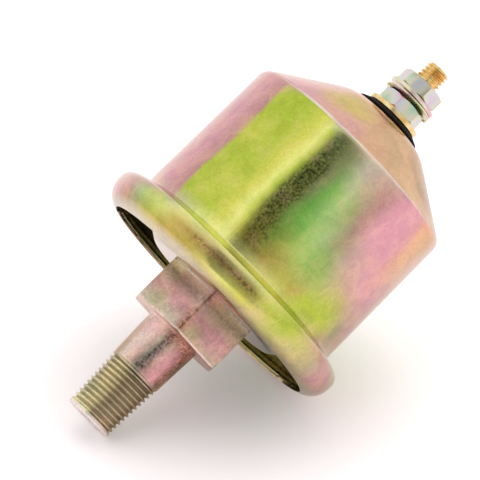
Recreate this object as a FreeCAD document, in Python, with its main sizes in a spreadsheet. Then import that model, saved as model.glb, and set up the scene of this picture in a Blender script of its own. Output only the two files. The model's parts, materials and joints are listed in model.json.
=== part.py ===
import FreeCAD, Part
import os
import re
import Sketcher

# Oil pressure sender, standing upright: +Z runs along its axis towards the terminal.
# The origin is on the axis where the tapered thread meets the neck. Lengths are millimetres.

doc = FreeCAD.newDocument("OilPressureSender")

# Driving dimensions: name, value, what it is
SIZES = (
    ("thread_length", 12.4, "tapered thread, from the neck to the tip"),
    ("thread_port_radius", 5.35, "crest of the thread at its large end"),
    ("thread_tip_radius", 4.8, "crest of the thread at its small end"),
    ("tip_chamfer", 0.5, "chamfer of the thread's tip"),
    ("neck_length", 9.6, "neck between thread and hexagon"),
    ("neck_port_radius", 5.3, "neck where the thread starts"),
    ("neck_hex_radius", 5.65, "neck where the hexagon starts"),
    ("hex_flats", 19.0, "fitting, across flats"),
    ("hex_height", 9.45, "fitting, height of the hexagon"),
    ("hex_lower_chamfer", 0.3, "height of the chamfer on the neck side"),
    ("hex_upper_chamfer", 0.3, "height of the chamfer on the can side"),
    ("hex_chamfer_inset", 0.5, "how far both chamfers cut in at the corners"),
    ("oil_bore_radius", 2.0, "oil passage through the fitting"),
    ("shank_radius", 6.0, "shank through the base plate"),
    ("stake_overlap", 1.0, "staked end beyond the shank"),
    ("stake_height", 0.5, "height of the staked end"),
    ("restrictor_length", 4.0, "drilled plug in the oil passage"),
    ("restrictor_hole_radius", 0.4, "hole of the plug"),
    ("restrictor_inset", 2.0, "plug below the inner end of the passage"),
    ("rim_radius", 27.0, "crimped rim"),
    ("rim_lower_bend", 4.0, "outer bend radius under the rim"),
    ("rim_upper_bend", 2.0, "outer bend radius over the rim"),
    ("lip_width", 3.4, "crimped lip, from the rim's outside to its opening"),
    ("lip_blank_width", 1.6, "lip that is trimmed off inside the opening"),
    ("shoulder_slope", 18.8, "degrees, top of the rim"),
    ("can_sheet", 0.8, "sheet of the can"),
    ("crease_bend", 0.6, "outer bend radius between rim and wall"),
    ("rim_flare", 4.2, "rim beyond the foot of the wall"),
    ("wall_draft", 0.3, "wall, narrower at its top"),
    ("corner_bend", 2.9, "outer bend radius between wall and cone"),
    ("cone_height", 9.65, "corner to the flat top"),
    ("crown_radius", 8.3, "where cone and flat top would meet"),
    ("crown_bend", 10.0, "outer bend radius between cone and flat top"),
    ("can_height", 46.35, "lip to the flat top"),
    ("top_hole_radius", 3.5, "hole for the terminal"),
    ("base_sheet", 1.0, "base plate"),
    ("boss_radius", 14.4, "flat raised middle of the base plate, against the hexagon"),
    ("boss_web", 2.4, "width of the slope around the raised middle"),
    ("boss_height", 1.45, "raised middle, lower than the flange of the base plate"),
    ("boss_bend", 2.0, "outer bend radius of that slope"),
    ("lip_seat", 1.4, "flange of the base plate above the lip"),
    ("base_flange_bend", 0.8, "rounded lower edge of the flange"),
    ("seal_height", 0.5, "rubber ring"),
    ("stack_play", 0.3, "clamped rings to the can around them"),
    ("diaphragm_sheet", 0.25, "diaphragm"),
    ("diaphragm_centre_radius", 6.4, "flat centre"),
    ("diaphragm_rise", 0.5, "centre above the clamped rim"),
    ("wave_depth", 0.22, "half height of a corrugation"),
    ("carrier_sheet", 1.2, "carrier plate"),
    ("carrier_flange", 5.5, "inner edge of the carrier's flange, in from the rim"),
    ("carrier_web", 2.0, "sloping web of the carrier"),
    ("clamp_height", 1.0, "clamp ring"),
    ("clamp_inset", 2.4, "clamp ring, in from the rim"),
    ("clamp_gap", 0.5, "clamp ring to the carrier's web"),
    ("rod_radius", 1.5, "push rod"),
    ("rod_tip_radius", 0.9, "slimmer tip of the rod beside the pivot pin"),
    ("rod_tip_bend", 0.8, "domed end of the tip"),
    ("rod_tip_play", 0.2, "play between tip and lever"),
    ("button_radius", 4.0, "button of the rod on the diaphragm"),
    ("button_height", 0.8, "button of the rod on the diaphragm"),
    ("rod_travel", 0.8, "lift of the rod at full pressure"),
    ("stop_play", 0.13, "button to the carrier at full pressure"),
    ("seat_play", 0.02, "play between moving faces that rest on each other"),
    ("running_play", 0.05, "radial play of rod and pivot"),
    ("bush_wall", 1.1, "guide bush in the carrier"),
    ("bush_flange", 0.6, "flange of the guide bush beyond its body"),
    ("bush_flange_height", 0.8, "flange of the guide bush"),
    ("clip_margin", 0.6, "retaining ring beyond the spring's middle"),
    ("clip_height", 0.6, "retaining ring"),
    ("clip_groove_depth", 0.3, "groove in the rod"),
    ("spring_space", 1.0, "middle of the spring wire from the rod"),
    ("spring_wire_radius", 0.22, "return spring wire"),
    ("spring_turns", 4.0, "return spring"),
    ("bracket_sheet", 1.0, "mechanism bracket"),
    ("bridge_height", 5.3, "underside of the bridge above the carrier"),
    ("bridge_reach", 5.0, "bridge, legs and card, end along X"),
    ("bridge_margin", 0.6, "bridge beyond the lugs"),
    ("bracket_half_width", 6.0, "outer face of the legs"),
    ("foot_length", 4.4, "feet beyond the legs"),
    ("leg_start", -0.8, "legs and feet, from this X"),
    ("rod_hole_play", 0.4, "hole of the bridge around the rod"),
    ("pivot_gap", 0.3, "pivot pin to the rod's tip"),
    ("pivot_height", 3.0, "pivot above the bridge"),
    ("pivot_radius", 1.0, "pivot pin"),
    ("pivot_head_radius", 1.8, "head of the pivot pin"),
    ("pivot_head_height", 0.7, "head of the pivot pin"),
    ("lug_half_width", 2.2, "lug that holds the pivot pin"),
    ("rivet_radius", 0.8, "shank of the rivets"),
    ("rivet_head_radius", 1.3, "heads of the rivets"),
    ("rivet_head_height", 0.6, "heads of the rivets"),
    ("rivet_tail_height", 0.3, "closed ends of the rivets"),
    ("rivet_inset", 1.3, "rivets of the card from its edges"),
    ("lever_sheet", 0.8, "wiper lever"),
    ("cheek_play", 0.6, "lever's cheeks to the lugs"),
    ("cheek_back", 1.5, "cheek behind the pivot"),
    ("cheek_half_height", 1.4, "cheek above and below the pivot"),
    ("pad_reach", 2.2, "end of the pad beyond the rod"),
    ("arm_length", 11.0, "arm above the pivot"),
    ("arm_foot_half_width", 1.4, "arm at the pivot"),
    ("arm_tip_half_width", 0.9, "arm at its tip"),
    ("wiper_sheet", 0.25, "wiper blade"),
    ("wiper_half_width", 0.7, "wiper blade"),
    ("wiper_seat_length", 3.0, "flat part of the blade on the arm"),
    ("wiper_blade_length", 2.4, "bent part of the blade"),
    ("wiper_tip_length", 0.8, "contact face of the blade"),
    ("wiper_play", 0.08, "blade to winding"),
    ("wiper_rivet_radius", 0.4, "rivet of the blade"),
    ("wiper_rivet_head", 0.65, "head of that rivet"),
    ("former_sheet", 1.2, "insulating card"),
    ("former_strip_height", 3.4, "wound strip of the card"),
    ("former_tab", 1.2, "bare end of the card's strip"),
    ("former_foot", 1.8, "foot of the card above the carrier"),
    ("winding_wire", 0.15, "resistance wire"),
    ("winding_bed", 0.15, "insulation under the wire"),
    ("winding_length", 7.0, "wound part of the strip"),
    ("winding_gap", 0.6, "winding to the card's stem"),
    ("winding_turns", 14.0, "turns that are drawn, coarser than the wire"),
    ("strip_sheet", 0.4, "lead strip"),
    ("strip_inset", 1.0, "lead strip from the edge of the card's stem"),
    ("strip_width", 2.4, "lead strip"),
    ("eyelet_radius", 3.9, "eyelet of the lead strip"),
    ("stud_radius", 2.4, "crest of the terminal thread"),
    ("stud_core_radius", 2.2, "shank of the stud, the pitch radius of its thread"),
    ("stud_top_chamfer", 0.5, "end of the stud"),
    ("stud_head_overlap", 2.0, "head of the stud inside the can, beyond its shank"),
    ("stud_head_height", 1.4, "head of the stud inside the can"),
    ("stud_free_length", 3.9, "stud above the top nut"),
    ("stud_play", 0.1, "radial play of insulators and washers on the stud"),
    ("insulator_flange_height", 1.85, "inner insulator"),
    ("sleeve_reach", 0.35, "sleeve above the can's flat top"),
    ("sleeve_play", 0.1, "sleeve in its seats"),
    ("outer_insulator_radius", 7.5, "outer insulator, lower edge"),
    ("outer_insulator_bevel", 1.9, "bevelled edge of the outer insulator"),
    ("outer_insulator_height", 0.95, "outer insulator"),
    ("brass_washer_radius", 5.5, "brass washer"),
    ("brass_washer_height", 1.2, "brass washer"),
    ("nut_flats", 8.0, "terminal nuts, across flats"),
    ("lower_nut_height", 2.7, "lower nut"),
    ("top_nut_height", 2.8, "top nut"),
    ("nut_chamfer", 0.35, "height of the nut chamfers"),
    ("nut_chamfer_inset", 0.5, "how far the nut chamfers cut in at the corners"),
    ("lower_nut_angle", -107.0, "degrees, direction of a corner of the lower nut"),
    ("top_nut_angle", -72.5, "degrees, direction of a corner of the top nut"),
    ("washer_radius", 5.1, "flat and spring washer"),
    ("flat_washer_height", 1.0, "flat washer"),
    ("spring_washer_height", 1.1, "spring washer"),
    ("spring_washer_gap", 0.5, "split of the spring washer"),
    ("spring_washer_slant", 0.5, "lean of the split"),
)

sizes = doc.addObject("Spreadsheet::Sheet", "Sizes")
for row, (alias, size, meaning) in enumerate(SIZES, start=1):
    sizes.set("A%d" % row, meaning)
    sizes.set("B%d" % row, str(size))
    sizes.setAlias("B%d" % row, alias)
doc.recompute()

SIZE_NAMES = re.compile(r"\b(%s)\b" % "|".join(alias for alias, size, meaning in SIZES))
TOUCH = 1e-4

# Heights along the axis, as formulas of the sizes
HEX_TOP = "(neck_length + hex_height)"
BASE_FLANGE = f"({HEX_TOP} + boss_height)"
LIP = f"({BASE_FLANGE} - lip_seat - can_sheet)"
CAN_TOP = f"({LIP} + can_height)"
WALL_TOP = f"({CAN_TOP} - cone_height)"
FLOOR_TOP = f"({HEX_TOP} + base_sheet)"
BASE_FLANGE_TOP = f"({BASE_FLANGE} + base_sheet)"
SEAL_TOP = f"({BASE_FLANGE_TOP} + seal_height)"
DIAPHRAGM_TOP = f"({SEAL_TOP} + diaphragm_sheet)"
CARRIER_FLANGE_TOP = f"({DIAPHRAGM_TOP} + carrier_sheet)"
CLAMP_TOP = f"({CARRIER_FLANGE_TOP} + clamp_height)"
BUTTON_UNDER = f"({DIAPHRAGM_TOP} + diaphragm_rise + seat_play)"
BUTTON_TOP = f"({BUTTON_UNDER} + button_height)"
CARRIER_UNDER = f"({BUTTON_TOP} + rod_travel + stop_play)"
CARRIER_TOP = f"({CARRIER_UNDER} + carrier_sheet)"
BUSH_TOP = f"({CARRIER_TOP} + bush_flange_height)"
CLIP_UNDER = f"({BUSH_TOP} + seat_play)"
CLIP_TOP = f"({CLIP_UNDER} + clip_height)"
BRIDGE_UNDER = f"({CARRIER_TOP} + bridge_height)"
BRIDGE_TOP = f"({BRIDGE_UNDER} + bracket_sheet)"
PIVOT = f"({BRIDGE_TOP} + pivot_height)"
ROD_TOP = f"({PIVOT} - rod_tip_play)"
ARM_TOP = f"({PIVOT} + arm_length)"
STRIP_MIDDLE = f"({ARM_TOP} + wiper_blade_length - wiper_tip_length)"
FORMER_STRIP_UNDER = f"({STRIP_MIDDLE} - former_strip_height / 2)"
FORMER_STRIP_TOP = f"({STRIP_MIDDLE} + former_strip_height / 2)"
CARD_RIVETS = f"({CARRIER_TOP} + former_foot + rivet_inset)"
INNER_TOP = f"({CAN_TOP} - can_sheet)"
INNER_FLANGE_UNDER = f"({INNER_TOP} - insulator_flange_height)"
EYELET_UNDER = f"({INNER_FLANGE_UNDER} - strip_sheet)"
INSULATOR_TOP = f"({CAN_TOP} + outer_insulator_height)"
BRASS_TOP = f"({INSULATOR_TOP} + brass_washer_height)"
LOWER_NUT_TOP = f"({BRASS_TOP} + lower_nut_height)"
FLAT_WASHER_TOP = f"({LOWER_NUT_TOP} + flat_washer_height)"
SPRING_WASHER_TOP = f"({FLAT_WASHER_TOP} + spring_washer_height)"
TOP_NUT_TOP = f"({SPRING_WASHER_TOP} + top_nut_height)"
STUD_TOP = f"({TOP_NUT_TOP} + stud_free_length)"

# Radii and places across the axis, as formulas of the sizes
WALL_FOOT_RADIUS = "(rim_radius - rim_flare)"
WALL_TOP_RADIUS = f"({WALL_FOOT_RADIUS} - wall_draft)"
CONE_SLOPE = f"atan(cone_height / ({WALL_TOP_RADIUS} - crown_radius))"
INNER_BEND = "(rim_lower_bend - can_sheet)"
CARRIER_FOOT_RADIUS = "(rim_radius - carrier_flange)"
CLAMP_RADIUS = "(rim_radius - clamp_inset)"
RING_BORE = f"({CARRIER_FOOT_RADIUS} + carrier_sheet / 2 + clamp_gap)"
BOSS_SHIFT = "(base_sheet * tan(atan(boss_height / boss_web) / 2))"
BUSH_RADIUS = "(rod_radius + bush_wall)"
SPRING_RADIUS = "(rod_radius + spring_space)"
PIVOT_ARM = "(rod_tip_radius + pivot_gap + pivot_radius)"
CHEEK_OUTER = "(bracket_half_width - bracket_sheet - cheek_play)"
FOOT_RIVET_X = "((leg_start + bridge_reach) / 2)"
FOOT_RIVET_Y = "(bracket_half_width + foot_length / 2)"
CARD_RIVET_X = {"left": "(leg_start + rivet_inset)", "right": "(bridge_reach - rivet_inset)"}
WINDING_RIGHT = "(leg_start - winding_gap)"
WINDING_LEFT = f"({WINDING_RIGHT} - winding_length)"
FORMER_LEFT = f"({WINDING_LEFT} - former_tab)"
STRIP_LEFT = "(leg_start + strip_inset)"
STRIP_CENTRE = f"({STRIP_LEFT} + strip_width / 2)"
STUD_HEAD_RADIUS = "(stud_core_radius + stud_head_overlap)"
STUD_BORE = "(stud_radius + stud_play)"
SHOULDER_DROP = "(can_sheet / cos(shoulder_slope) - can_sheet * tan(shoulder_slope))"
CONE_DROP = f"(can_sheet / cos({CONE_SLOPE}) - can_sheet * tan({CONE_SLOPE}))"
INNER_CROWN_RADIUS = f"(crown_radius - can_sheet * (1 / cos({CONE_SLOPE}) - 1) / tan({CONE_SLOPE}))"
INNER_FLAT_RADIUS = f"({INNER_CROWN_RADIUS} - (crown_bend - can_sheet) * tan({CONE_SLOPE} / 2))"

# The crease above the rim, where the can's shoulder presses on the clamp ring
CREASE = (f"({CLAMP_TOP} + seat_play + can_sheet / cos(shoulder_slope)"
          f" + ({CLAMP_RADIUS} - {WALL_FOOT_RADIUS}) * tan(shoulder_slope))")


def inside_rim(height):
    """Radius of a clamped piece that clears the lower bend of the rim at that height."""
    return (f"(rim_radius - rim_lower_bend - stack_play"
            f" + sqrt({INNER_BEND} ^ 2 - ({LIP} + rim_lower_bend - {height}) ^ 2))")


# The base plate's rounded edge rests in the bend of the lip
BASE_FLANGE_RADIUS = (f"(rim_radius - rim_lower_bend + base_flange_bend - seat_play"
                      f" + sqrt(({INNER_BEND} - base_flange_bend) ^ 2"
                      f" - ({INNER_BEND} - lip_seat - base_flange_bend) ^ 2))")


def sized(formula):
    """The formula with each size looked up in the sheet."""
    return SIZE_NAMES.sub(r"Sizes.\1", str(formula))


def number(item, formula):
    """The value of a formula."""
    return float(item.evalExpression(sized(formula)))


def new_body(label):
    body = doc.addObject("PartDesign::Body", label)
    body.Label = label
    return body


def new_sketch(body, name, role="XZ_Plane", offset="0"):
    """A sketch on one of the body's own planes, moved along the plane's normal."""
    sketch = body.newObject("Sketcher::SketchObject", name)
    plane = [item for item in body.Origin.OriginFeatures if item.Role == role][0]
    sketch.AttachmentSupport = [(plane, "")]
    sketch.MapMode = "FlatFace"
    sketch.setExpression("AttachmentOffset.Base.z", sized(offset))
    return sketch


def draw(sketch, corners):
    """A closed outline. A corner is (across, along) or (across, along, bulge of the arc to the next corner)."""
    start = sketch.GeometryCount
    places = [FreeCAD.Vector(number(sketch, corner[0]), number(sketch, corner[1]), 0) for corner in corners]
    ends = []
    for index, corner in enumerate(corners):
        here = places[index]
        there = places[(index + 1) % len(places)]
        if len(corner) == 2:
            sketch.addGeometry(Part.LineSegment(here, there), False)
            ends.append((1, 2))
            continue
        bulge = number(sketch, corner[2])
        chord = there - here
        side = FreeCAD.Vector(chord.y, -chord.x, 0).normalize()
        middle = (here + there) / 2 + side * bulge
        sketch.addGeometry(Part.Arc(here, middle, there), False)
        forward = (sketch.getPoint(start + index, 1) - here).Length < TOUCH
        ends.append((1, 2) if forward else (2, 1))
        half = chord.Length / 2
        radius = sketch.addConstraint(
            Sketcher.Constraint("Radius", start + index, (half * half + bulge * bulge) / (2 * abs(bulge))))
        across = f"(({corners[(index + 1) % len(corners)][0]}) - ({corner[0]}))"
        along = f"(({corners[(index + 1) % len(corners)][1]}) - ({corner[1]}))"
        square = f"(({across} ^ 2 + {along} ^ 2) / 4)"
        sketch.setExpression("Constraints[%d]" % radius,
                             sized(f"({square} + ({corner[2]}) ^ 2) / (2 * abs({corner[2]}))"))
    for index in range(len(corners)):
        following = (index + 1) % len(corners)
        sketch.addConstraint(Sketcher.Constraint(
            "Coincident", start + index, ends[index][1], start + following, ends[following][0]))
    for index, corner in enumerate(corners):
        for kind, formula, value in (("DistanceX", corner[0], places[index].x),
                                     ("DistanceY", corner[1], places[index].y)):
            constraint = sketch.addConstraint(
                Sketcher.Constraint(kind, -1, 1, start + index, ends[index][0], value))
            sketch.setExpression("Constraints[%d]" % constraint, sized(formula))


def draw_circle(sketch, radius, across="0", along="0"):
    """A circle, its centre given from the sketch's origin."""
    centre = FreeCAD.Vector(number(sketch, across), number(sketch, along), 0)
    index = sketch.addGeometry(Part.Circle(centre, FreeCAD.Vector(0, 0, 1), number(sketch, radius)), False)
    constraint = sketch.addConstraint(Sketcher.Constraint("Radius", index, number(sketch, radius)))
    sketch.setExpression("Constraints[%d]" % constraint, sized(radius))
    for kind, formula, value in (("DistanceX", across, centre.x), ("DistanceY", along, centre.y)):
        constraint = sketch.addConstraint(Sketcher.Constraint(kind, -1, 1, index, 3, value))
        sketch.setExpression("Constraints[%d]" % constraint, sized(formula))


def rectangle(left, right, low, high):
    return [(left, low), (right, low), (right, high), (left, high)]


def hexagon(flats, turn):
    """Corners of a hexagon about the axis, the first in the direction turn."""
    return [(f"({flats}) / sqrt(3) * cos({turn} + {60 * step})", f"({flats}) / sqrt(3) * sin({turn} + {60 * step})")
            for step in range(6)]


def checked_cut(body, feature, before):
    """A cut that points away from the solid shows no error, so the volume is compared."""
    doc.recompute()
    if not body.Shape.Volume < before:
        raise RuntimeError(feature.Name + " cuts nothing")


def turn(body, corners):
    """Turn an outline about the axis."""
    sketch = new_sketch(body, body.Name + "_outline")
    draw(sketch, corners)
    feature = body.newObject("PartDesign::Revolution", body.Name + "_turned")
    feature.Profile = sketch
    feature.ReferenceAxis = (sketch, ["V_Axis"])
    feature.Angle = 360
    doc.recompute()
    return feature


def turn_away(body, corners):
    """Turn an outline about the axis and take it away."""
    before = body.Shape.Volume
    sketch = new_sketch(body, body.Name + "_cut_outline")
    draw(sketch, corners)
    feature = body.newObject("PartDesign::Groove", body.Name + "_groove")
    feature.Profile = sketch
    feature.ReferenceAxis = (sketch, ["V_Axis"])
    feature.Angle = 360
    checked_cut(body, feature, before)


def pad(body, name, role, offset, outlines, length, circles=()):
    """Extrude outlines along the plane's normal."""
    sketch = new_sketch(body, name + "_outline", role, offset)
    for corners in outlines:
        draw(sketch, corners)
    for circle in circles:
        draw_circle(sketch, *circle)
    feature = body.newObject("PartDesign::Pad", name)
    feature.Profile = sketch
    feature.setExpression("Length", sized(length))
    doc.recompute()
    return feature


def pocket(body, name, role, offset, outlines, length, circles=(), both_ways=False):
    """Cut outlines against the plane's normal, or both ways from the plane."""
    before = body.Shape.Volume
    sketch = new_sketch(body, name + "_outline", role, offset)
    for corners in outlines:
        draw(sketch, corners)
    for circle in circles:
        draw_circle(sketch, *circle)
    feature = body.newObject("PartDesign::Pocket", name)
    feature.Profile = sketch
    feature.setExpression("Length", sized(length))
    feature.Midplane = both_ways
    checked_cut(body, feature, before)
    return feature


def cut_to_hexagon(body, flats, low, high, turn_formula):
    """Mill six flats on a turned blank between two heights."""
    pocket(body, body.Name + "_flats", "XY_Plane", high, [hexagon(flats, turn_formula)],
           f"({high}) - ({low})", circles=[(flats,)])


def circle_edges(body, places):
    """Names of the round edges at the given radii and heights."""
    names = []
    for radius, height in places:
        wanted_radius = number(body, radius)
        wanted_height = number(body, height)
        for index, edge in enumerate(body.Shape.Edges, start=1):
            curve = edge.Curve
            if not isinstance(curve, Part.Circle):
                continue
            if abs(curve.Radius - wanted_radius) < TOUCH and abs(curve.Center.z - wanted_height) < TOUCH:
                names.append("Edge%d" % index)
    if len(names) < len(places):
        raise RuntimeError(body.Name + " lacks an edge to finish")
    return names


def round_off(body, name, radius, places):
    """Bend or round the edges at the given radii and heights."""
    tip = body.Tip
    edges = circle_edges(body, places)
    feature = body.newObject("PartDesign::Fillet", name)
    feature.Base = (tip, edges)
    feature.setExpression("Radius", sized(radius))
    doc.recompute()


def make_pressure_fitting():
    """Hexagon, neck and tapered thread turned from one bar, bored through and staked in the base plate."""
    body = new_body("pressure_fitting")
    corner = "(hex_flats / sqrt(3))"
    turn(body, [
        ("oil_bore_radius", "-thread_length"),
        ("thread_tip_radius - tip_chamfer", "-thread_length"),
        ("thread_tip_radius", "tip_chamfer - thread_length"),
        ("thread_port_radius", "0"),
        ("neck_port_radius", "0"),
        ("neck_hex_radius", "neck_length"),
        (f"{corner} - hex_chamfer_inset", "neck_length"),
        (corner, "neck_length + hex_lower_chamfer"),
        (corner, f"{HEX_TOP} - hex_upper_chamfer"),
        (f"{corner} - hex_chamfer_inset", HEX_TOP),
        ("shank_radius", HEX_TOP),
        ("shank_radius", FLOOR_TOP),
        ("shank_radius + stake_overlap", FLOOR_TOP),
        ("shank_radius", f"{FLOOR_TOP} + stake_height"),
        ("oil_bore_radius", f"{FLOOR_TOP} + stake_height"),
    ])
    cut_to_hexagon(body, "hex_flats", "neck_length", HEX_TOP, "-90")
    return body


def make_inlet_restrictor():
    """Drilled plug pressed into the inner end of the oil passage."""
    body = new_body("inlet_restrictor")
    top = f"({FLOOR_TOP} + stake_height - restrictor_inset)"
    turn(body, rectangle("restrictor_hole_radius", "oil_bore_radius", f"{top} - restrictor_length", top))
    return body


def make_housing_can():
    """Deep drawn can: crimped rim, wall, conical shoulder and flat top, all of one sheet."""
    body = new_body("housing_can")
    blank_lip = "(rim_radius - rim_lower_bend - lip_blank_width)"
    rim_top = f"({CREASE} - rim_flare * tan(shoulder_slope))"
    inner_rim_top = f"({rim_top} - {SHOULDER_DROP})"
    turn(body, [
        (blank_lip, LIP),
        ("rim_radius", LIP),
        ("rim_radius", rim_top),
        (WALL_FOOT_RADIUS, CREASE),
        (WALL_TOP_RADIUS, WALL_TOP),
        ("crown_radius", CAN_TOP),
        ("top_hole_radius", CAN_TOP),
        ("top_hole_radius", INNER_TOP),
        (INNER_CROWN_RADIUS, INNER_TOP),
        (f"{WALL_TOP_RADIUS} - can_sheet", f"{WALL_TOP} - {CONE_DROP}"),
        (f"{WALL_FOOT_RADIUS} - can_sheet", f"{CREASE} - {SHOULDER_DROP}"),
        ("rim_radius - can_sheet", inner_rim_top),
        ("rim_radius - can_sheet", f"{LIP} + can_sheet"),
        (blank_lip, f"{LIP} + can_sheet"),
    ])
    round_off(body, "rim_lower_outside", "rim_lower_bend", [("rim_radius", LIP)])
    round_off(body, "rim_lower_inside", INNER_BEND,
              [("rim_radius - can_sheet", f"{LIP} + can_sheet")])
    round_off(body, "rim_upper_outside", "rim_upper_bend", [("rim_radius", rim_top)])
    round_off(body, "rim_upper_inside", "rim_upper_bend - can_sheet", [("rim_radius - can_sheet", inner_rim_top)])
    round_off(body, "crease_outside", "crease_bend", [(WALL_FOOT_RADIUS, CREASE)])
    round_off(body, "crease_inside", "crease_bend + can_sheet",
              [(f"{WALL_FOOT_RADIUS} - can_sheet", f"{CREASE} - {SHOULDER_DROP}")])
    round_off(body, "corner_outside", "corner_bend", [(WALL_TOP_RADIUS, WALL_TOP)])
    round_off(body, "corner_inside", "corner_bend - can_sheet",
              [(f"{WALL_TOP_RADIUS} - can_sheet", f"{WALL_TOP} - {CONE_DROP}")])
    round_off(body, "crown_outside", "crown_bend", [("crown_radius", CAN_TOP)])
    round_off(body, "crown_inside", "crown_bend - can_sheet", [(INNER_CROWN_RADIUS, INNER_TOP)])
    turn_away(body, rectangle("0", "rim_radius - lip_width", f"{LIP} - can_sheet", f"{LIP} + 2 * can_sheet"))
    return body


def make_base_plate():
    """Pressed plate: middle raised towards the fitting, and a flange that the bend of the rim holds."""
    body = new_body("base_plate")
    turn(body, [
        ("shank_radius", HEX_TOP),
        ("boss_radius", HEX_TOP),
        ("boss_radius + boss_web", BASE_FLANGE),
        (BASE_FLANGE_RADIUS, BASE_FLANGE),
        (BASE_FLANGE_RADIUS, BASE_FLANGE_TOP),
        (f"boss_radius + boss_web - {BOSS_SHIFT}", BASE_FLANGE_TOP),
        (f"boss_radius - {BOSS_SHIFT}", FLOOR_TOP),
        ("shank_radius", FLOOR_TOP),
    ])
    round_off(body, "boss_outside", "boss_bend", [("boss_radius", HEX_TOP),
                                                  (f"boss_radius + boss_web - {BOSS_SHIFT}", BASE_FLANGE_TOP)])
    round_off(body, "boss_inside", "boss_bend - base_sheet", [("boss_radius + boss_web", BASE_FLANGE),
                                                              (f"boss_radius - {BOSS_SHIFT}", FLOOR_TOP)])
    round_off(body, "flange_edge", "base_flange_bend", [(BASE_FLANGE_RADIUS, BASE_FLANGE)])
    return body


def make_ring(label, inner, outer, low, high):
    """Plain turned ring."""
    body = new_body(label)
    turn(body, rectangle(inner, outer, low, high))
    return body


def make_diaphragm():
    """Corrugated spring sheet, clamped at its rim, with a raised flat centre under the push rod."""
    body = new_body("diaphragm")
    waves = 4
    halves = 2 * waves
    span = f"({CARRIER_FOOT_RADIUS} - stack_play - diaphragm_centre_radius)"
    lower = [("0", f"{SEAL_TOP} + diaphragm_rise")]
    for half in range(halves + 1):
        reach = f"diaphragm_centre_radius + {span} * {half} / {halves}"
        height = f"{SEAL_TOP} + diaphragm_rise * {halves - half} / {halves}"
        if half < halves:
            lower.append((reach, height, "wave_depth" if half % 2 == 0 else "-wave_depth"))
        else:
            lower.append((reach, height))
    lower.append((inside_rim(SEAL_TOP), SEAL_TOP))
    upper = []
    for index, corner in enumerate(lower):
        arc = lower[index - 1][2:] if index else ()
        back = tuple(f"-({bulge})" for bulge in arc)
        upper.append((corner[0], f"{corner[1]} + diaphragm_sheet") + back)
    turn(body, lower + upper[::-1])
    return body


def make_carrier_plate():
    """Dished plate over the diaphragm: flange, sloping web and raised middle for the mechanism."""
    body = new_body("carrier_plate")
    turn(body, [
        (BUSH_RADIUS, CARRIER_UNDER),
        (f"{CARRIER_FOOT_RADIUS} - carrier_web", CARRIER_UNDER),
        (CARRIER_FOOT_RADIUS, DIAPHRAGM_TOP),
        (inside_rim(DIAPHRAGM_TOP), DIAPHRAGM_TOP),
        (inside_rim(DIAPHRAGM_TOP), CARRIER_FLANGE_TOP),
        (f"{CARRIER_FOOT_RADIUS} + carrier_sheet / 2", CARRIER_FLANGE_TOP),
        (f"{CARRIER_FOOT_RADIUS} + carrier_sheet / 2 - carrier_web", CARRIER_TOP),
        (BUSH_RADIUS, CARRIER_TOP),
    ])
    pocket(body, "carrier_rivet_holes", "XY_Plane", CARRIER_TOP, [], "carrier_sheet",
           circles=[("rivet_radius", FOOT_RIVET_X, side + FOOT_RIVET_Y) for side in ("", "-")])
    return body


def make_push_rod():
    """Rod with a button on the diaphragm, a groove for the retaining ring and a domed tip."""
    body = new_body("push_rod")
    turn(body, [
        ("0", BUTTON_UNDER),
        ("button_radius", BUTTON_UNDER),
        ("button_radius", BUTTON_TOP),
        ("rod_radius", BUTTON_TOP),
        ("rod_radius", CLIP_UNDER),
        ("rod_radius - clip_groove_depth", CLIP_UNDER),
        ("rod_radius - clip_groove_depth", CLIP_TOP),
        ("rod_radius", CLIP_TOP),
        ("rod_radius", BRIDGE_TOP),
        ("rod_tip_radius", f"{BRIDGE_TOP} + rod_radius - rod_tip_radius"),
        ("rod_tip_radius", ROD_TOP),
        ("0", ROD_TOP),
    ])
    round_off(body, "rod_tip", "rod_tip_bend", [("rod_tip_radius", ROD_TOP)])
    return body


def make_return_spring():
    """Coil spring between the retaining ring and the bridge."""
    body = new_body("return_spring")
    sketch = new_sketch(body, "return_spring_wire")
    draw_circle(sketch, "spring_wire_radius", SPRING_RADIUS, f"{CLIP_TOP} + spring_wire_radius")
    helix = body.newObject("PartDesign::AdditiveHelix", "return_spring_coil")
    helix.Profile = sketch
    helix.ReferenceAxis = (sketch, ["V_Axis"])
    helix.Mode = 2
    helix.setExpression("Height", sized(f"{BRIDGE_UNDER} - {CLIP_TOP} - 2 * spring_wire_radius"))
    helix.setExpression("Turns", sized("spring_turns"))
    doc.recompute()
    return body


def make_guide_bush():
    """Flanged bush that guides the push rod through the carrier plate."""
    body = new_body("guide_bush")
    bore = "rod_radius + running_play"
    turn(body, [
        (bore, CARRIER_UNDER),
        (BUSH_RADIUS, CARRIER_UNDER),
        (BUSH_RADIUS, CARRIER_TOP),
        (f"{BUSH_RADIUS} + bush_flange", CARRIER_TOP),
        (f"{BUSH_RADIUS} + bush_flange", BUSH_TOP),
        (bore, BUSH_TOP),
    ])
    return body


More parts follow.
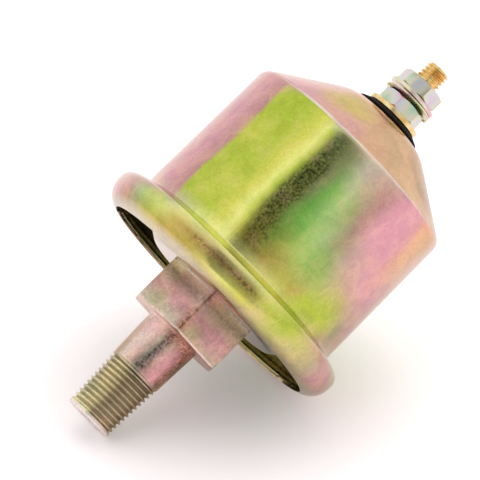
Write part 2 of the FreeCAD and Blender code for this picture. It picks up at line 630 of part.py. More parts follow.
def make_mechanism_bracket():
    """Folded sheet: bridge over the push rod, two legs with feet, and two lugs for the pivot pin."""
    body = new_body("mechanism_bracket")
    inner = "(bracket_half_width - bracket_sheet)"
    lug_left = f"(-{PIVOT_ARM} - lug_half_width)"
    lug_right = f"(lug_half_width - {PIVOT_ARM})"
    pad(body, "bridge", "XY_Plane", BRIDGE_UNDER,
        [rectangle(f"{lug_left} - bridge_margin", "bridge_reach", "-bracket_half_width", "bracket_half_width")],
        "bracket_sheet")
    for name, side in (("front", "-"), ("back", "")):
        pad(body, name + "_leg", "XY_Plane", CARRIER_TOP,
            [rectangle("leg_start", "bridge_reach", f"{side}{inner}", f"{side}bracket_half_width")],
            "bridge_height")
        pad(body, name + "_foot", "XY_Plane", CARRIER_TOP,
            [rectangle("leg_start", "bridge_reach", f"{side}{inner}", f"{side}(bracket_half_width + foot_length)")],
            "bracket_sheet")
        pad(body, name + "_lug", "XY_Plane", BRIDGE_TOP,
            [rectangle(lug_left, lug_right, f"{side}{inner}", f"{side}bracket_half_width")],
            f"{PIVOT} + lug_half_width - {BRIDGE_TOP}")
    pocket(body, "rod_hole", "XY_Plane", BRIDGE_TOP, [], "bracket_sheet", circles=[("rod_radius + rod_hole_play",)])
    pocket(body, "foot_holes", "XY_Plane", f"{CARRIER_TOP} + bracket_sheet", [], "bracket_sheet",
           circles=[("rivet_radius", FOOT_RIVET_X, side + FOOT_RIVET_Y) for side in ("", "-")])
    pocket(body, "pivot_holes", "XZ_Plane", "0", [], "4 * bracket_half_width",
           circles=[("pivot_radius", f"-{PIVOT_ARM}", PIVOT)], both_ways=True)
    pocket(body, "former_rivet_holes", "XZ_Plane", "0", [], "2 * bracket_half_width",
           circles=[("rivet_radius", across, CARD_RIVETS) for across in CARD_RIVET_X.values()])
    return body


def make_rivet(name, shank, grip, head, head_height, tail_height, place, turned=0):
    """One rivet: shank, head and closed end. place is the head's seat, turned is the lean about X in degrees."""
    body = new_body(name)
    turn(body, [
        ("0", f"-({grip}) - {tail_height}"),
        (head, f"-({grip}) - {tail_height}"),
        (head, f"-({grip})"),
        (shank, f"-({grip})"),
        (shank, "0"),
        (head, "0"),
        (head, head_height),
        ("0", head_height),
    ])
    body.Placement = FreeCAD.Placement(FreeCAD.Vector(), FreeCAD.Rotation(FreeCAD.Vector(1, 0, 0), turned))
    for axis, formula in zip("xyz", place):
        body.setExpression("Placement.Base." + axis, sized(formula))
    doc.recompute()
    return body


def make_group(label, members):
    """Identical fasteners in one node, as separate solids."""
    group = doc.addObject("Part::Compound", label)
    group.Label = label
    group.Links = members
    doc.recompute()
    return group


def make_bracket_rivets():
    rivets = [make_rivet("foot_rivet_" + name, "rivet_radius", "carrier_sheet + bracket_sheet",
                         "rivet_head_radius", "rivet_head_height", "rivet_tail_height",
                         (FOOT_RIVET_X, side + FOOT_RIVET_Y, f"{CARRIER_TOP} + bracket_sheet"))
              for name, side in (("front", "-"), ("back", ""))]
    return make_group("bracket_rivets", rivets)


def make_pivot_pin():
    """Headed pin across the two lugs."""
    body = new_body("pivot_pin")
    turn(body, [
        ("0", "-2 * bracket_half_width"),
        ("pivot_radius", "-2 * bracket_half_width"),
        ("pivot_radius", "0"),
        ("pivot_head_radius", "0"),
        ("pivot_head_radius", "pivot_head_height"),
        ("0", "pivot_head_height"),
    ])
    body.Placement = FreeCAD.Placement(FreeCAD.Vector(), FreeCAD.Rotation(FreeCAD.Vector(1, 0, 0), 90))
    body.setExpression("Placement.Base.x", sized(f"-{PIVOT_ARM}"))
    body.setExpression("Placement.Base.y", sized("-bracket_half_width"))
    body.setExpression("Placement.Base.z", sized(PIVOT))
    doc.recompute()
    return body


def make_wiper_lever():
    """Folded lever: two cheeks on the pivot pin, a pad over the push rod and a long arm for the wiper."""
    body = new_body("wiper_lever")
    back = f"(-{PIVOT_ARM} - cheek_back)"
    low = f"({PIVOT} - cheek_half_height)"
    high = f"({PIVOT} + cheek_half_height)"
    pad(body, "arm_cheek", "XZ_Plane", f"-{CHEEK_OUTER}", [[
        (back, low),
        ("pad_reach", low),
        ("pad_reach", high),
        (f"arm_foot_half_width - {PIVOT_ARM}", high),
        (f"arm_tip_half_width - {PIVOT_ARM}", ARM_TOP),
        (f"-arm_tip_half_width - {PIVOT_ARM}", ARM_TOP),
        (f"-arm_foot_half_width - {PIVOT_ARM}", high),
        (back, high),
    ]], "lever_sheet")
    pad(body, "plain_cheek", "XZ_Plane", f"{CHEEK_OUTER} - lever_sheet",
        [rectangle(back, "pad_reach", low, high)], "lever_sheet")
    pad(body, "lever_pad", "XY_Plane", PIVOT,
        [rectangle("-rod_tip_radius", "pad_reach", f"-{CHEEK_OUTER}", CHEEK_OUTER)], "lever_sheet")
    pocket(body, "lever_bores", "XZ_Plane", "0", [], f"4 * {CHEEK_OUTER}",
           circles=[("pivot_radius + running_play", f"-{PIVOT_ARM}", PIVOT)], both_ways=True)
    pocket(body, "lever_rivet_hole", "XZ_Plane", "0", [], f"2 * {CHEEK_OUTER}",
           circles=[("wiper_rivet_radius", f"-{PIVOT_ARM}", f"{ARM_TOP} - wiper_seat_length / 2")])
    return body


def make_wiper_contact():
    """Bent spring blade whose tip slides on the winding."""
    body = new_body("wiper_contact")
    seat = CHEEK_OUTER
    face = "(bracket_half_width - winding_wire - winding_bed - wiper_play)"
    foot = f"({ARM_TOP} - wiper_seat_length)"
    tip = f"({ARM_TOP} + wiper_blade_length)"
    bend = f"({tip} - 2 * wiper_tip_length)"
    pad(body, "blade", "YZ_Plane", f"-{PIVOT_ARM} - wiper_half_width", [[
        (seat, foot),
        (f"{seat} + wiper_sheet", foot),
        (f"{seat} + wiper_sheet", f"{ARM_TOP} - wiper_sheet"),
        (face, bend),
        (face, tip),
        (f"{face} - wiper_sheet", tip),
        (f"{face} - wiper_sheet", bend),
        (seat, ARM_TOP),
    ]], "2 * wiper_half_width")
    pocket(body, "blade_hole", "XZ_Plane", "0", [], f"2 * {CHEEK_OUTER}",
           circles=[("wiper_rivet_radius", f"-{PIVOT_ARM}", f"{ARM_TOP} - wiper_seat_length / 2")])
    return body


def make_wiper_rivet():
    return make_rivet("wiper_rivet", "wiper_rivet_radius", "lever_sheet + wiper_sheet", "wiper_rivet_head",
                      "wiper_sheet", "wiper_sheet",
                      (f"-{PIVOT_ARM}", f"{CHEEK_OUTER} + wiper_sheet", f"{ARM_TOP} - wiper_seat_length / 2"),
                      -90)


def make_resistor_former():
    """Insulating card: stem riveted to the bracket and a strip for the winding."""
    body = new_body("resistor_former")
    pad(body, "card", "XZ_Plane", "-bracket_half_width - former_sheet", [[
        ("leg_start", f"{CARRIER_TOP} + former_foot"),
        ("bridge_reach", f"{CARRIER_TOP} + former_foot"),
        ("bridge_reach", FORMER_STRIP_TOP),
        (FORMER_LEFT, FORMER_STRIP_TOP),
        (FORMER_LEFT, FORMER_STRIP_UNDER),
        ("leg_start", FORMER_STRIP_UNDER),
    ]], "former_sheet")
    holes = [("rivet_radius", across, CARD_RIVETS) for across in CARD_RIVET_X.values()]
    holes.append(("rivet_radius", STRIP_CENTRE, STRIP_MIDDLE))
    pocket(body, "card_holes", "XZ_Plane", "0", [], "2 * bracket_half_width", circles=holes)
    return body


def make_resistor_winding():
    """Wire wound on the strip of the card: an insulating bed with raised turns."""
    body = new_body("resistor_winding")
    near = "bracket_half_width"
    far = "(bracket_half_width + former_sheet)"
    core = rectangle(near, far, FORMER_STRIP_UNDER, FORMER_STRIP_TOP)

    def around(thickness):
        return rectangle(f"{near} - {thickness}", f"{far} + {thickness}",
                         f"{FORMER_STRIP_UNDER} - {thickness}", f"{FORMER_STRIP_TOP} + {thickness}")

    pad(body, "bed", "YZ_Plane", WINDING_LEFT, [core, around("winding_bed")], "winding_length")
    step = "(winding_length / winding_turns)"
    first = pad(body, "wire_turn", "YZ_Plane", WINDING_LEFT, [core, around("(winding_bed + winding_wire)")],
                f"{step} * 2 / 3")
    turns = body.newObject("PartDesign::LinearPattern", "wire_turns")
    turns.Originals = [first]
    turns.Direction = (first.Profile[0], ["N_Axis"])
    turns.setExpression("Length", sized(f"{step} * (winding_turns - 1)"))
    turns.setExpression("Occurrences", sized("winding_turns"))
    body.Tip = turns
    doc.recompute()
    return body


def make_former_rivets():
    rivets = [make_rivet("card_rivet_" + end, "rivet_radius", "bracket_sheet + former_sheet",
                         "rivet_head_radius", "rivet_head_height", "rivet_tail_height",
                         (across, "bracket_half_width + former_sheet", CARD_RIVETS), -90)
              for end, across in CARD_RIVET_X.items()]
    return make_group("former_rivets", rivets)


def make_lead_strip():
    """Strip from the card up to an eyelet under the head insulator of the stud."""
    body = new_body("lead_strip")
    near = "(bracket_half_width + former_sheet)"
    bend = f"(({FORMER_STRIP_TOP} + {EYELET_UNDER}) / 2)"
    pad(body, "strip", "YZ_Plane", STRIP_LEFT, [[
        (near, f"{FORMER_STRIP_UNDER} + strip_sheet"),
        (f"{near} + strip_sheet", f"{FORMER_STRIP_UNDER} + strip_sheet"),
        (f"{near} + strip_sheet", bend),
        (f"{STUD_HEAD_RADIUS} + 2 * strip_sheet", INNER_FLANGE_UNDER),
        ("stud_core_radius + strip_sheet", INNER_FLANGE_UNDER),
        ("stud_core_radius + strip_sheet", EYELET_UNDER),
        (f"{STUD_HEAD_RADIUS} + strip_sheet", EYELET_UNDER),
        (near, bend),
    ]], "strip_width")
    pad(body, "eyelet", "XY_Plane", EYELET_UNDER, [], "strip_sheet", circles=[("eyelet_radius",)])
    pocket(body, "eyelet_hole", "XY_Plane", INNER_FLANGE_UNDER, [], "strip_sheet",
           circles=[("stud_core_radius",)])
    pocket(body, "strip_rivet_hole", "XZ_Plane", "0", [], "2 * bracket_half_width",
           circles=[("rivet_radius", STRIP_CENTRE, STRIP_MIDDLE)])
    return body


def make_lead_rivet():
    return make_rivet("lead_rivet", "rivet_radius", "former_sheet + strip_sheet", "strip_width / 2",
                      "rivet_tail_height", "rivet_tail_height",
                      (STRIP_CENTRE, "bracket_half_width + former_sheet + strip_sheet", STRIP_MIDDLE), -90)


def make_terminal_stud():
    """Stud with a round head inside the can: a shank, drawn on through the nuts, and the free end of the thread."""
    body = new_body("terminal_stud")
    turn(body, [
        ("0", f"{EYELET_UNDER} - stud_head_height"),
        (STUD_HEAD_RADIUS, f"{EYELET_UNDER} - stud_head_height"),
        (STUD_HEAD_RADIUS, EYELET_UNDER),
        ("stud_core_radius", EYELET_UNDER),
        ("stud_core_radius", TOP_NUT_TOP),
        ("stud_radius", TOP_NUT_TOP),
        ("stud_radius", f"{STUD_TOP} - stud_top_chamfer"),
        ("stud_radius - stud_top_chamfer", STUD_TOP),
        ("0", STUD_TOP),
    ])
    return body


def make_inner_insulator():
    """Bush: flange under the can's top and a sleeve through its hole."""
    body = new_body("inner_insulator")
    sleeve = "(top_hole_radius - sleeve_play)"
    turn(body, [
        (STUD_BORE, INNER_FLANGE_UNDER),
        (INNER_FLAT_RADIUS, INNER_FLANGE_UNDER),
        (INNER_FLAT_RADIUS, INNER_TOP),
        (sleeve, INNER_TOP),
        (sleeve, f"{CAN_TOP} + sleeve_reach"),
        (STUD_BORE, f"{CAN_TOP} + sleeve_reach"),
    ])
    return body


def make_outer_insulator():
    """Insulating washer with a bevelled edge, recessed for the sleeve."""
    body = new_body("outer_insulator")
    turn(body, [
        ("top_hole_radius", CAN_TOP),
        ("outer_insulator_radius", CAN_TOP),
        ("outer_insulator_radius - outer_insulator_bevel", INSULATOR_TOP),
        (STUD_BORE, INSULATOR_TOP),
        (STUD_BORE, f"{CAN_TOP} + sleeve_reach + sleeve_play"),
        ("top_hole_radius", f"{CAN_TOP} + sleeve_reach + sleeve_play"),
    ])
    return body


def make_nut(label, low, high, turn_formula):
    """Thin hexagon nut, chamfered on both faces, bored to the pitch radius of the thread."""
    body = new_body(label)
    corner = "(nut_flats / sqrt(3))"
    turn(body, [
        ("stud_core_radius", low),
        (f"{corner} - nut_chamfer_inset", low),
        (corner, f"{low} + nut_chamfer"),
        (corner, f"{high} - nut_chamfer"),
        (f"{corner} - nut_chamfer_inset", high),
        ("stud_core_radius", high),
    ])
    cut_to_hexagon(body, "nut_flats", low, high, turn_formula)
    return body


def make_spring_washer():
    """Split washer, the split leaning."""
    body = new_body("spring_washer")
    turn(body, rectangle(STUD_BORE, "washer_radius", FLAT_WASHER_TOP, SPRING_WASHER_TOP))
    half = "(spring_washer_gap / 2)"
    pocket(body, "washer_split", "XZ_Plane", "0", [[
        (f"-{half} - spring_washer_slant", FLAT_WASHER_TOP),
        (f"{half} - spring_washer_slant", FLAT_WASHER_TOP),
        (f"{half} + spring_washer_slant", SPRING_WASHER_TOP),
        (f"-{half} + spring_washer_slant", SPRING_WASHER_TOP),
    ]], "2 * washer_radius")
    return body


PARTS = [
    make_pressure_fitting(),
    make_inlet_restrictor(),
    make_housing_can(),
    make_base_plate(),
    make_ring("seal_ring", RING_BORE, inside_rim(BASE_FLANGE_TOP), BASE_FLANGE_TOP, SEAL_TOP),
    make_diaphragm(),
    make_carrier_plate(),
    make_ring("clamp_ring", RING_BORE, CLAMP_RADIUS, CARRIER_FLANGE_TOP, CLAMP_TOP),
    make_push_rod(),
    make_ring("retaining_ring", "rod_radius - clip_groove_depth", f"{SPRING_RADIUS} + clip_margin",
              CLIP_UNDER, CLIP_TOP),
    make_return_spring(),
    make_guide_bush(),
    make_mechanism_bracket(),
    make_bracket_rivets(),
    make_pivot_pin(),
    make_wiper_lever(),
    make_wiper_contact(),
    make_wiper_rivet(),
    make_resistor_former(),
    make_resistor_winding(),
    make_former_rivets(),
    make_lead_strip(),
    make_lead_rivet(),
    make_terminal_stud(),
    make_inner_insulator(),
    make_outer_insulator(),
    make_ring("brass_washer", STUD_BORE, "brass_washer_radius", INSULATOR_TOP, BRASS_TOP),
    make_nut("lower_nut", BRASS_TOP, LOWER_NUT_TOP, "lower_nut_angle"),
    make_ring("flat_washer", STUD_BORE, "washer_radius", LOWER_NUT_TOP, FLAT_WASHER_TOP),
    make_spring_washer(),
    make_nut("top_nut", SPRING_WASHER_TOP, TOP_NUT_TOP, "top_nut_angle"),
]

doc.recompute()
for item in doc.Objects:
    if "Invalid" in item.State or "Error" in item.State:
        raise RuntimeError(item.Name + " did not build")
for item in PARTS:
    if item.Shape.isNull() or not item.Shape.isValid():
        raise RuntimeError(item.Label + " has no valid shape")

os.makedirs("parts", exist_ok=True)
for item in PARTS:
    item.Shape.exportStep(os.path.join("parts", item.Label + ".step"))
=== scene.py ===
import json
import math

import bpy
from mathutils import Matrix, Vector

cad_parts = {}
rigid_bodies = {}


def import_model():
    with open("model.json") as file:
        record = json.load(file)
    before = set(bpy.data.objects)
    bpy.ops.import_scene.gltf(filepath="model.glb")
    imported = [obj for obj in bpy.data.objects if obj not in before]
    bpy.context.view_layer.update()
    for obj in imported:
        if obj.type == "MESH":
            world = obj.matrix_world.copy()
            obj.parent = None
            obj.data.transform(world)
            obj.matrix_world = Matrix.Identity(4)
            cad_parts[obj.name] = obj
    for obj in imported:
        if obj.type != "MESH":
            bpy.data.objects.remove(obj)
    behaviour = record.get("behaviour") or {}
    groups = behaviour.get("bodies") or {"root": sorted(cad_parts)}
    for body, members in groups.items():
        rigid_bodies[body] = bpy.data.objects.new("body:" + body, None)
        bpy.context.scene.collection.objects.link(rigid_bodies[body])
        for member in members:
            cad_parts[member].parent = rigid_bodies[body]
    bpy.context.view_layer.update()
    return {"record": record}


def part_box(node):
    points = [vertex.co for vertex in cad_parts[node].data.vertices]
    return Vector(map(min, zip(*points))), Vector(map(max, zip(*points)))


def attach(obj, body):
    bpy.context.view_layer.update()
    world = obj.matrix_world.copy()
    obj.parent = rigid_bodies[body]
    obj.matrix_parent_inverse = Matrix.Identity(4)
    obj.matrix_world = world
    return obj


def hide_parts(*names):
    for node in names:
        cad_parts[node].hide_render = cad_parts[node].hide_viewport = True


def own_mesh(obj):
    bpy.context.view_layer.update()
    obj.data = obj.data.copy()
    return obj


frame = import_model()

# Oil pressure sender. Lengths below are millimetres unless a name says otherwise, MM turns them to metres.
# Azimuth is counted about the sender's axis from -Y, the side the photograph shows, towards +X.
MM = 0.001
FULL_TURN = 2 * math.pi
ROUND_STEPS = 144
BEND_STEPS = 8
WELD = 1e-7


def low(node):
    """Lowest height of a CAD node."""
    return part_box(node)[0][2] / MM


def high(node):
    """Highest height of a CAD node."""
    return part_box(node)[1][2] / MM


def radius(node):
    """Largest radius of a round CAD node."""
    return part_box(node)[1][0] / MM


# Sizes that several pieces share, or a piece with its material or with the floor

LIP = low("housing_can")
RIM = radius("housing_can")
RIM_BEND = 4.0
TOP_HOLE = 3.5
TIP = low("pressure_fitting")
THREAD_CREST = 5.35
THREAD_TAPER = 0.55 / 12.4
STUD_HOLE = 2.5


# Modelling

def pick(piece):
    """Select one piece alone and make it active."""
    bpy.ops.object.select_all(action="DESELECT")
    piece.select_set(True)
    bpy.context.view_layer.objects.active = piece


def rounded(corners, closed):
    """Points of an outline. A corner is (radius, height) or (radius, height, bend radius)."""
    points = []
    for index, corner in enumerate(corners):
        here = Vector(corner[:2])
        if len(corner) < 3 or (not closed and index in (0, len(corners) - 1)):
            points.append(here)
            continue
        bend = corner[2]
        back = (Vector(corners[index - 1][:2]) - here).normalized()
        ahead = (Vector(corners[(index + 1) % len(corners)][:2]) - here).normalized()
        opening = back.angle(ahead)
        start = here + back * bend / math.tan(opening / 2)
        centre = here + (back + ahead).normalized() * bend / math.sin(opening / 2)
        side = 1 if back.x * ahead.y - back.y * ahead.x < 0 else -1
        for step in range(BEND_STEPS + 1):
            turned = Matrix.Rotation(side * (math.pi - opening) * step / BEND_STEPS, 2) @ (start - centre)
            points.append(centre + turned)
    return points


def turned_piece(name, corners, closed=True, steps=ROUND_STEPS, angle=FULL_TURN):
    """Draw an outline by extruding one point along it, and spin it about the axis."""
    points = rounded(corners, closed)
    if closed:
        points.append(points[0])
    bpy.ops.object.select_all(action="DESELECT")
    bpy.ops.mesh.primitive_plane_add(size=MM)
    piece = bpy.context.object
    piece.name = name
    bpy.ops.object.mode_set(mode="EDIT")
    bpy.ops.mesh.merge(type="CENTER")
    bpy.ops.transform.translate(value=(points[0].x * MM, 0, points[0].y * MM))
    for here, there in zip(points, points[1:]):
        step = (there - here) * MM
        bpy.ops.mesh.extrude_region_move(TRANSFORM_OT_translate={"value": (step.x, 0, step.y)})
    bpy.ops.mesh.select_all(action="SELECT")
    bpy.ops.mesh.spin(steps=steps, angle=angle, center=(0, 0, 0), axis=(0, 0, 1))
    bpy.ops.mesh.select_all(action="SELECT")
    bpy.ops.mesh.remove_doubles(threshold=WELD)
    bpy.ops.mesh.normals_make_consistent(inside=False)
    bpy.ops.object.mode_set(mode="OBJECT")
    return piece


def hexagon_bar(name, flats, bottom, top, turn=0.0, edge=0.2):
    """Hexagon bar with slightly rounded long edges, a corner towards -Y before it is turned."""
    bpy.ops.object.select_all(action="DESELECT")
    bpy.ops.mesh.primitive_cylinder_add(vertices=6, radius=flats / math.sqrt(3) * MM,
                                        depth=(top - bottom) * MM, location=(0, 0, (top + bottom) / 2 * MM),
                                        rotation=(0, 0, math.radians(turn)))
    bar = bpy.context.object
    bar.name = name
    bpy.ops.object.transform_apply(location=True, rotation=True, scale=True)
    bpy.ops.object.mode_set(mode="EDIT")
    bpy.ops.mesh.select_mode(type="EDGE")
    bpy.ops.mesh.select_all(action="DESELECT")
    bpy.ops.object.mode_set(mode="OBJECT")
    for line in bar.data.edges:
        ends = [bar.data.vertices[index].co for index in line.vertices]
        line.select = abs(ends[0].z - ends[1].z) > MM
    bpy.ops.object.mode_set(mode="EDIT")
    bpy.ops.mesh.bevel(offset=edge * MM, segments=3)
    bpy.ops.mesh.select_mode(type="VERT")
    bpy.ops.object.mode_set(mode="OBJECT")
    return bar


def combine(piece, tool, operation):
    """Boolean the tool into the piece and take the tool away."""
    change = piece.modifiers.new(operation.lower(), "BOOLEAN")
    change.operation = operation
    change.solver = "EXACT"
    change.object = tool
    pick(piece)
    bpy.ops.object.modifier_apply(modifier=change.name)
    bpy.data.objects.remove(tool)


def soften_edges(piece, width, angle=30.0):
    """Break the sharp edges, as tumbling and plating leave them."""
    bevel = piece.modifiers.new("broken_edges", "BEVEL")
    bevel.width = width * MM
    bevel.segments = 2
    bevel.limit_method = "ANGLE"
    bevel.angle_limit = math.radians(angle)
    bevel.harden_normals = False
    pick(piece)
    bpy.ops.object.modifier_apply(modifier=bevel.name)


def smooth(piece, angle=28.0):
    pick(piece)
    bpy.ops.object.shade_smooth_by_angle(angle=math.radians(angle))


def close_ends(piece):
    """Weld a spun or screwed piece and cap its open ends."""
    pick(piece)
    bpy.ops.object.mode_set(mode="EDIT")
    bpy.ops.mesh.select_all(action="SELECT")
    bpy.ops.mesh.remove_doubles(threshold=WELD)
    bpy.ops.mesh.select_all(action="DESELECT")
    bpy.ops.mesh.select_non_manifold(extend=False)
    bpy.ops.mesh.fill_holes(sides=0)
    bpy.ops.mesh.select_all(action="SELECT")
    bpy.ops.mesh.normals_make_consistent(inside=False)
    bpy.ops.object.mode_set(mode="OBJECT")


def thread(name, bottom, top, crest, pitch, depth, taper=0.0, steps=72):
    """Vee thread: one tooth is drawn and screwed up the axis. taper is the growth in radius for each mm."""
    tooth = ((crest - depth, 0.0), (crest - depth, 0.1), (crest, 0.43), (crest, 0.57), (crest - depth, 0.9),
             (crest - depth, 1.0))
    turns = math.ceil((top - bottom) / pitch) + 3
    bpy.ops.object.select_all(action="DESELECT")
    bpy.ops.mesh.primitive_plane_add(size=MM)
    piece = bpy.context.object
    piece.name = name
    bpy.ops.object.mode_set(mode="EDIT")
    bpy.ops.mesh.merge(type="CENTER")
    bpy.ops.transform.translate(value=(tooth[0][0] * MM, 0, (bottom - 2 * pitch) * MM))
    for here, there in zip(tooth, tooth[1:]):
        bpy.ops.mesh.extrude_region_move(TRANSFORM_OT_translate={
            "value": ((there[0] - here[0]) * MM, 0, (there[1] - here[1]) * pitch * MM)})
    bpy.ops.object.mode_set(mode="OBJECT")
    screw = piece.modifiers.new("screw", "SCREW")
    screw.axis = "Z"
    screw.screw_offset = pitch * MM
    screw.iterations = turns
    screw.steps = steps
    screw.render_steps = steps
    screw.use_merge_vertices = True
    screw.merge_threshold = WELD
    pick(piece)
    bpy.ops.object.modifier_apply(modifier=screw.name)
    for point in piece.data.vertices:
        growth = 1 + taper * (point.co.z / MM) / crest
        point.co.x *= growth
        point.co.y *= growth
    close_ends(piece)
    return piece


def place(piece, body, slot, material, *nodes):
    """Let a finished piece stand for CAD nodes."""
    piece.data.materials.clear()
    piece.data.materials.append(material)
    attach(piece, body)
    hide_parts(*nodes)


# Materials

def linear(code):
    """Linear colour of an sRGB hex value."""
    channels = [int(code[place:place + 2], 16) / 255 for place in (1, 3, 5)]
    return [value / 12.92 if value <= 0.04045 else ((value + 0.055) / 1.055) ** 2.4
            for value in channels] + [1.0]


def add_node(tree, kind, inputs=None, **settings):
    """Add a node with its settings, and with values or links on its inputs."""
    added = tree.nodes.new(kind)
    for name, value in settings.items():
        setattr(added, name, value)
    for key, value in (inputs or {}).items():
        if isinstance(value, bpy.types.NodeSocket):
            tree.links.new(value, added.inputs[key])
        else:
            added.inputs[key].default_value = value
    return added


def set_stops(ramp, stops, smoothing="LINEAR"):
    """Fill a colour ramp from (place, hex or grey level) pairs."""
    elements = ramp.color_ramp.elements
    ramp.color_ramp.interpolation = smoothing
    while len(elements) > 1:
        elements.remove(elements[-1])
    for index, (spot, colour) in enumerate(stops):
        element = elements[0] if index == 0 else elements.new(spot)
        element.position = spot
        element.color = linear(colour) if isinstance(colour, str) else (colour, colour, colour, 1)


def new_material(name):
    """A material with its node tree and its Principled shader."""
    material = bpy.data.materials.new(name)
    material.use_nodes = True
    return material, material.node_tree, material.node_tree.nodes["Principled BSDF"]


def around(degrees):
    """Place on a ramp that runs once around the axis."""
    return (degrees + 180) / 360


